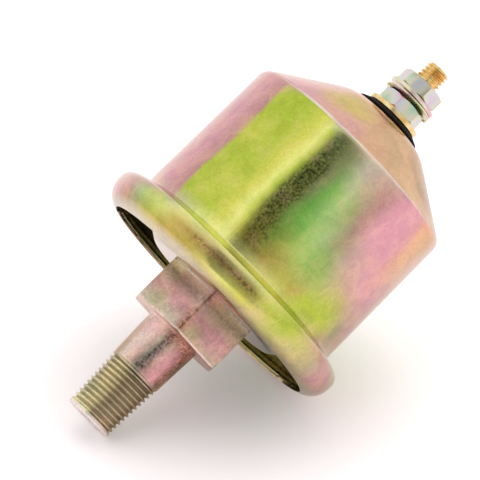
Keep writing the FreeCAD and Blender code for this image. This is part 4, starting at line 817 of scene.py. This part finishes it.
def make_return_spring():
    """Coil spring inside the can, wound from its bottom up to its seat."""
    bottom, seat, outer = low("return_spring"), high("return_spring"), radius("return_spring")
    wire = 0.22
    turns = 4
    bpy.ops.object.select_all(action="DESELECT")
    bpy.ops.mesh.primitive_circle_add(vertices=12, radius=wire * MM, rotation=(math.radians(90), 0, 0),
                                      location=((outer - wire) * MM, 0, (bottom + wire) * MM))
    coil = bpy.context.object
    coil.name = "coil_spring"
    bpy.ops.object.transform_apply(location=True, rotation=True, scale=True)
    screw = coil.modifiers.new("screw", "SCREW")
    screw.axis = "Z"
    screw.screw_offset = (seat - bottom - 2 * wire) / turns * MM
    screw.iterations = turns
    screw.steps = 48
    screw.render_steps = 48
    pick(coil)
    bpy.ops.object.modifier_apply(modifier=screw.name)
    close_ends(coil)
    smooth(coil, 40)
    place(coil, "housing", "plain_steel", steel, "return_spring")
    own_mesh(coil)


def make_insulator():
    """Bevelled black washer over the can's top."""
    bottom, top, outer = low("outer_insulator"), high("outer_insulator"), radius("outer_insulator")
    washer = turned_piece("bevelled_insulator", [
        (TOP_HOLE, bottom), (outer, bottom, 0.15), (outer - 1.9, top, 0.3), (STUD_HOLE, top),
        (STUD_HOLE, bottom + 0.45), (TOP_HOLE, bottom + 0.45),
    ])
    smooth(washer, 40)
    place(washer, "housing", "black_insulator", black_plastic, "outer_insulator")


make_can()
make_base_plate()
make_fitting()
make_stud()
make_nut("thin_nut_lower", "lower_nut", -17.0)
make_nut("thin_nut_upper", "top_nut", 17.5)
make_brass_washer()
make_bowed_washer()
make_spring_washer()
make_insulator()
make_return_spring()

for row in frame["record"]["subparts"]:
    for thing in bpy.data.objects:
        if thing.type == "MESH" and thing.name.split("__")[0] == row["node"]:
            for slot in thing.material_slots:
                slot.material = SLOT_MATERIALS[row["material_slot"]]


# Camera

# The sender lies across the photograph. The view is square to its axis, but the camera stands six degrees
# towards the thread.
PHOTO_SIDE = 480
PIXEL = 0.1818
AXIS_MIDDLE_PIXEL = (264.45, 243.25)
VIEW_TILT = math.radians(6)
AXIS_TURN = math.radians(45.3)
CAMERA_DISTANCE = 850.0

view = Vector((0, math.cos(VIEW_TILT), math.sin(VIEW_TILT)))
level_right = Vector((1, 0, 0))
level_up = Vector((0, -math.sin(VIEW_TILT), math.cos(VIEW_TILT)))
right = level_right * math.cos(AXIS_TURN) + level_up * math.sin(AXIS_TURN)
up = level_up * math.cos(AXIS_TURN) - level_right * math.sin(AXIS_TURN)
axis_middle = Vector((0, 0, (low("pressure_fitting") + high("terminal_stud")) / 2))
target = (axis_middle - right * (AXIS_MIDDLE_PIXEL[0] - PHOTO_SIDE / 2) * PIXEL
          + up * (AXIS_MIDDLE_PIXEL[1] - PHOTO_SIDE / 2) * PIXEL)
lens = bpy.data.cameras.new("camera")
lens.sensor_width = 36
lens.lens = lens.sensor_width * CAMERA_DISTANCE / (PHOTO_SIDE * PIXEL)
lens.clip_end = 100
camera = bpy.data.objects.new("camera", lens)
bpy.context.scene.collection.objects.link(camera)
turned = Matrix((right, up, -view)).transposed()
camera.matrix_world = Matrix.Translation((target - view * CAMERA_DISTANCE) * MM) @ turned.to_4x4()
bpy.context.scene.camera = camera


# Floor

# It lies on its side: the floor touches the rim and the tip of the thread, seen from 35 degrees above.
FLOOR_SIDE = Vector((0.639, 0.769, 0))
# Floor glow near the object and in the open. The weaker glow near it is a painted shadow.
PAINTED_SHADOW_GLOW = 0.14
OPEN_GLOW = 0.37
GLOSSY_SHARE = 0.45
tip_radius = 4.8
tip_height = TIP + 0.5
rim_centre = (RIM - RIM_BEND, LIP + RIM_BEND)
run = Vector((rim_centre[0] - tip_radius, rim_centre[1] - tip_height))
slope = math.atan2(run.y, run.x) - math.asin(RIM_BEND / run.length)
floor_normal = -FLOOR_SIDE * math.sin(slope) + Vector((0, 0, math.cos(slope)))
if floor_normal.dot(view) > 0:
    floor_normal = -floor_normal
tip_corner = FLOOR_SIDE * tip_radius + Vector((0, 0, tip_height))

bpy.ops.object.select_all(action="DESELECT")
bpy.ops.mesh.primitive_plane_add(size=3.0)
floor = bpy.context.object
floor.name = "floor"
floor.matrix_world = (Matrix.Translation((tip_corner - floor_normal * 0.1) * MM)
                      @ floor_normal.to_track_quat("Z", "Y").to_matrix().to_4x4())
paper = bpy.data.materials.new("white_paper_floor")
paper.use_nodes = True
tree = paper.node_tree
tree.nodes.clear()
matt = add_node(tree, "ShaderNodeBsdfDiffuse", {"Color": linear("#F4ECEE")})
seen = add_node(tree, "ShaderNodeLightPath")
rim_contact = FLOOR_SIDE * rim_centre[0] + Vector((0, 0, rim_centre[1])) - floor_normal * RIM_BEND
shadow_middle = tip_corner.lerp(rim_contact, 0.6) * MM
spot = add_node(tree, "ShaderNodeNewGeometry")
away = add_node(tree, "ShaderNodeVectorMath", {0: spot.outputs["Position"], 1: shadow_middle},
                operation="DISTANCE")
# The glow is weaker within 10 to 40 mm of the object: a painted shadow on the floor under it, over the lamp's
# own shadow.
painted_shadow_glow = add_node(tree, "ShaderNodeMapRange", {0: away.outputs["Value"], 1: 10 * MM, 2: 40 * MM,
                                                   3: PAINTED_SHADOW_GLOW, 4: OPEN_GLOW})
glow = add_node(tree, "ShaderNodeEmission", {"Color": (1, 1, 1, 1), "Strength": painted_shadow_glow.outputs[0]})
bright = add_node(tree, "ShaderNodeAddShader", {0: matt.outputs[0], 1: glow.outputs[0]})
rays = add_node(tree, "ShaderNodeMath", {0: seen.outputs["Is Glossy Ray"], 1: GLOSSY_SHARE,
                                         2: seen.outputs["Is Camera Ray"]}, operation="MULTIPLY_ADD")
shown = add_node(tree, "ShaderNodeMixShader", {0: rays.outputs[0], 1: matt.outputs[0], 2: bright.outputs[0]})
side = add_node(tree, "ShaderNodeNewGeometry")
clear = add_node(tree, "ShaderNodeBsdfTransparent")
one_sided = add_node(tree, "ShaderNodeMixShader", {0: side.outputs["Backfacing"], 1: shown.outputs[0],
                                                  2: clear.outputs[0]})
add_node(tree, "ShaderNodeOutputMaterial", {"Surface": one_sided.outputs[0]})
floor.data.materials.append(paper)


# Light

# A pale room drawn by azimuth, darker in a narrow gap in front, where the camera stands
world = bpy.data.worlds.new("studio")
bpy.context.scene.world = world
world.use_nodes = True
tree = world.node_tree
tree.nodes.clear()
ray = add_node(tree, "ShaderNodeTexCoord").outputs["Generated"]
parts = add_node(tree, "ShaderNodeSeparateXYZ", {0: ray})
front = add_node(tree, "ShaderNodeMath", {0: parts.outputs["Y"], 1: -1.0}, operation="MULTIPLY")
angle = add_node(tree, "ShaderNodeMath", {0: parts.outputs["X"], 1: front.outputs[0]}, operation="ARCTAN2")
share = add_node(tree, "ShaderNodeMapRange", {0: angle.outputs[0], 1: -math.pi, 2: math.pi, 3: 0.0, 4: 1.0})
room = add_node(tree, "ShaderNodeValToRGB", {0: share.outputs[0]})
set_stops(room, [(around(degrees), level) for degrees, level in (
    (-180, 0.85), (-52, 0.95), (-40, 1.0), (-28, 1.0), (-24, 0.42), (-11, 0.38), (-6, 0.55), (20, 0.8),
    (60, 0.9), (180, 0.8))])
height = add_node(tree, "ShaderNodeMapRange", {0: parts.outputs["Z"], 1: 0.55, 2: 0.75, 3: 0.0, 4: 1.0})
lit = add_node(tree, "ShaderNodeMix", {0: height.outputs[0], 6: room.outputs["Color"],
                                       7: (0.86, 0.86, 0.86, 1)}, data_type="RGBA")
seen = add_node(tree, "ShaderNodeLightPath")
backdrop = add_node(tree, "ShaderNodeMix", {0: seen.outputs["Is Camera Ray"], 6: lit.outputs[2],
                                            7: (1, 1, 1, 1)}, data_type="RGBA")
glowing = add_node(tree, "ShaderNodeBackground", {"Color": backdrop.outputs[2], "Strength": 1.0})
add_node(tree, "ShaderNodeOutputWorld", {"Surface": glowing.outputs[0]})

# One wide soft box over the object, weak, and left out of the metal's mirror images, which show the room
lamp_data = bpy.data.lights.new("soft_box", "AREA")
lamp_data.shape = "DISK"
lamp_data.size = 1.3
lamp_data.energy = 2.3
lamp = bpy.data.objects.new("soft_box", lamp_data)
lamp.visible_glossy = False
bpy.context.scene.collection.objects.link(lamp)
lamp_side = (floor_normal + up * 0.15).normalized()
lamp.matrix_world = (Matrix.Translation(axis_middle * MM + lamp_side * 0.9)
                     @ lamp_side.to_track_quat("Z", "Y").to_matrix().to_4x4())

bpy.context.scene.view_settings.view_transform = "Standard"
